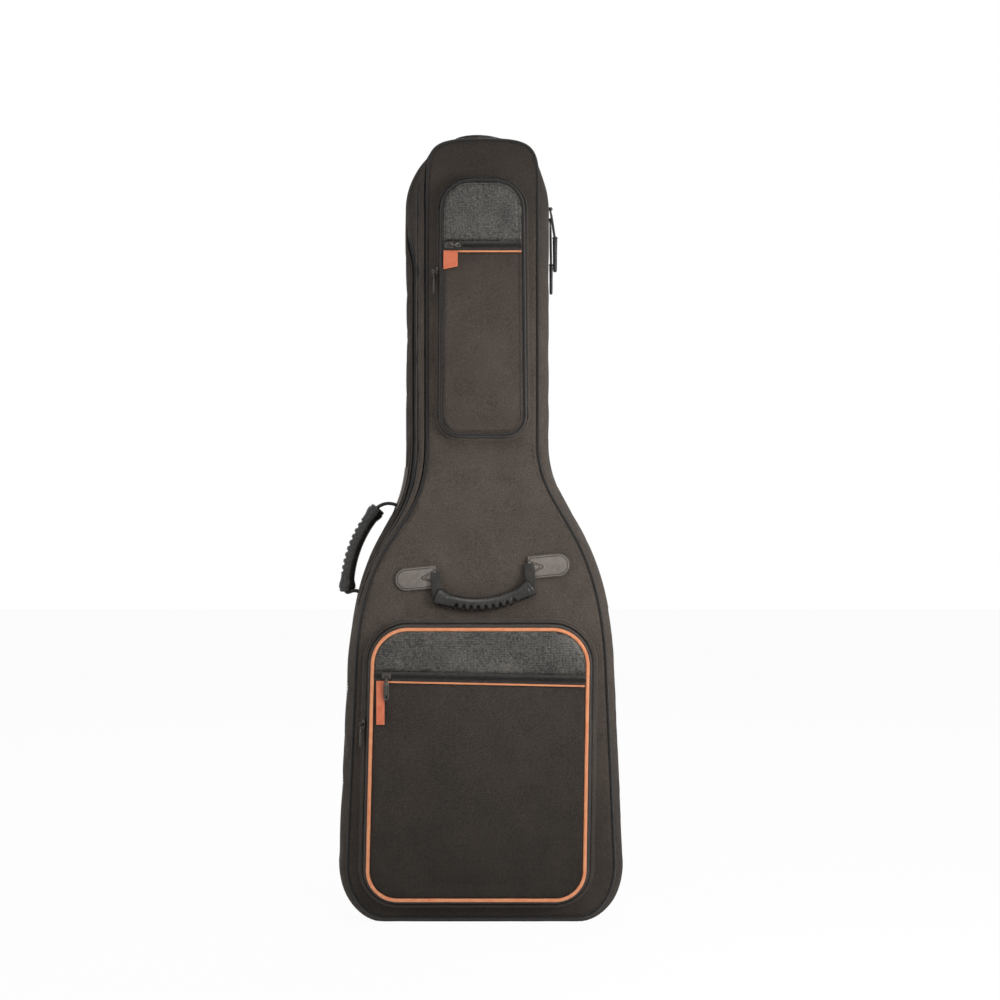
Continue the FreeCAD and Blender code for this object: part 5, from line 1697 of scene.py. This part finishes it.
def make_rings():
    tabs, rings, sewn = [], [], []
    ring_z = STRAP_RING[1]
    for side in SIDE_NAMES:
        x = side * STRAP_RING[0]
        path = np.linspace((x, BACK_Y + 0.0008, ring_z - 0.047), (x, BACK_Y + 0.0008, ring_z - 0.010), 20)
        tabs.append(band("tab", path, 0.026, 0.0022, WEBBING, BACK))
        for shift in (-0.0105, 0.0105):
            row = path[1:13] + (shift, 0.0023, 0)
            sewn.append(stitches("row", row, BACK, PATCH_THREAD, pitch=0.0034))
        loop = rectangle(x - 0.016, ring_z - 0.012, x + 0.016, ring_z + 0.006, 0.003, 0.0015)
        rings.append(sweep("ring", lift(loop, BACK_Y + RING_OFF), 0.0019, PLASTIC, closed=True, sides=12))
        angles = np.linspace(-math.pi / 2, math.pi / 2, 16)
        wrap = np.stack((x + 0 * angles, BACK_Y + RING_OFF + 0.0030 * np.sin(angles),
                         ring_z - 0.0115 + 0.0030 * np.cos(angles)), 1)
        tabs.append(band("wrap", wrap, 0.026, 0.0012, WEBBING, (1e-3, 0.0, 1.0)))
    place(join("strap_ring_tabs", tabs), "back_half", "webbing", ["strap_anchors"])
    place(join("strap_tab_stitches", sewn), "back_half", "webbing")
    place(join("strap_ring_loops", rings), "back_half", "hard_plastic", ["strap_rings"])


# ---------------------------------------------------------------- stage, light and camera
VIEW_WIDTH = 1.334
VIEW_CENTRE = (0.0253, 0.563)
CAMERA_DISTANCE = 3.2
FOCUS_Y = -0.04  # the depth at which the view has that width
SENSOR = 36.0
FLOOR_HALF = 9.0
WHITE = (1, 1, 1, 1)
LIGHTS = (  # name, place, aim, size and power
    ("key", (0.76, -0.80, 0.66), (0.03, 0, 0.56), (0.45, 0.45), 7.2),
    ("top", (0.2, -1.8, 2.4), (0, 0, 0.6), (1.0, 1.0), 15),
    ("fill", (-2.2, -2.0, 1.0), (0, 0, 0.5), (1.4, 1.8), 9),
    ("rim", (0.4, 2.4, 2.2), (0, 0, 0.6), (1.6, 1.2), 22),
)


def stage_material(name, tone):
    """Pale surface that the camera sees as near white, and that still holds a shadow."""
    s = Shader(name, roughness=0.9, specular_ior_level=0.1)
    grain = s.noise(0.4, 2.0)
    s.colour(grain, tone, toned(tone, 1.01))
    return s.material


def seen_directly(tree):
    """1 for rays that show the background: camera, glossy and transmission rays."""
    path = tree.nodes.new("ShaderNodeLightPath")
    seen = path.outputs["Is Camera Ray"]
    for other in ("Is Glossy Ray", "Is Transmission Ray"):
        both = tree.nodes.new("ShaderNodeMath")
        both.operation = "MAXIMUM"
        tree.links.new(seen, both.inputs[0])
        tree.links.new(path.outputs[other], both.inputs[1])
        seen = both.outputs[0]
    return seen


def blended(tree, share, first, second, output):
    """Mix two shaders by a share, into the tree's output."""
    blend = tree.nodes.new("ShaderNodeMixShader")
    for slot, source in enumerate((share, first, second)):
        tree.links.new(source, blend.inputs[slot])
    tree.links.new(blend.outputs[0], output)


def camera_white(material, share):
    """Let the camera, and what is seen in gloss or glass, find the surface nearly plain white."""
    tree = material.node_tree
    scaled = tree.nodes.new("ShaderNodeMath")
    scaled.operation = "MULTIPLY"
    scaled.inputs[1].default_value = share
    tree.links.new(seen_directly(tree), scaled.inputs[0])
    glow = tree.nodes.new("ShaderNodeEmission")
    glow.inputs["Color"].default_value = WHITE
    glow.inputs["Strength"].default_value = 1.0
    output = next(n for n in tree.nodes if n.type == "OUTPUT_MATERIAL")
    blended(tree, scaled.outputs[0], tree.nodes["Principled BSDF"].outputs[0], glow.outputs[0],
            output.inputs["Surface"])
    return material


def make_stage():
    pale = camera_white(stage_material("studio_floor", rgb(248, 248, 246)), 0.96)
    corners = [(x * FLOOR_HALF, y * FLOOR_HALF, 0) for x, y in ((-1, -1), (1, -1), (1, 1), (-1, 1))]
    add_mesh("studio_floor", corners, [(0, 1, 2, 3)], pale, smooth=False)
    world = bpy.data.worlds.new("studio")
    bpy.context.scene.world = world
    world.use_nodes = True
    tree = world.node_tree
    lit = tree.nodes["Background"]
    shown = tree.nodes.new("ShaderNodeBackground")
    for back, strength in ((lit, 0.30), (shown, 1.0)):
        back.inputs["Color"].default_value = WHITE
        back.inputs["Strength"].default_value = strength
    blended(tree, seen_directly(tree), lit.outputs[0], shown.outputs[0],
            tree.nodes["World Output"].inputs[0])


def area_light(name, place_at, look_at, size, power):
    data = bpy.data.lights.new(name, "AREA")
    data.shape = "RECTANGLE"
    data.size, data.size_y = size
    data.energy = power
    lamp = linked(name, data)
    lamp.location = place_at
    lamp.rotation_mode = "QUATERNION"
    lamp.rotation_quaternion = (Vector(look_at) - Vector(place_at)).to_track_quat("-Z", "Y")


def make_lights_and_camera():
    for light in LIGHTS:
        area_light(*light)
    data = bpy.data.cameras.new("camera")
    data.sensor_width = SENSOR
    data.lens = SENSOR * (CAMERA_DISTANCE + FOCUS_Y) / VIEW_WIDTH
    camera = linked("camera", data)
    camera.location = (VIEW_CENTRE[0], -CAMERA_DISTANCE, VIEW_CENTRE[1])
    camera.rotation_euler = (math.pi / 2, 0, 0)
    scene = bpy.context.scene
    scene.camera = camera
    scene.view_settings.view_transform = "Standard"


def main():
    for side in HALVES:
        make_gusset(side)
        make_panel(side)
        make_face_piping(side)
        make_main_zip(side)
        make_lining(side)
    make_side_seam()
    make_hinge_strip()
    make_cradle()
    make_end_pad()
    make_lower_pocket()
    make_upper_pocket()
    make_patches()
    make_front_handle()
    make_side_handle()
    make_sliders()
    for side in SIDE_NAMES:
        make_strap(side)
    make_strap_fixings()
    make_stage()
    make_lights_and_camera()


main()
bpy.context.view_layer.update()
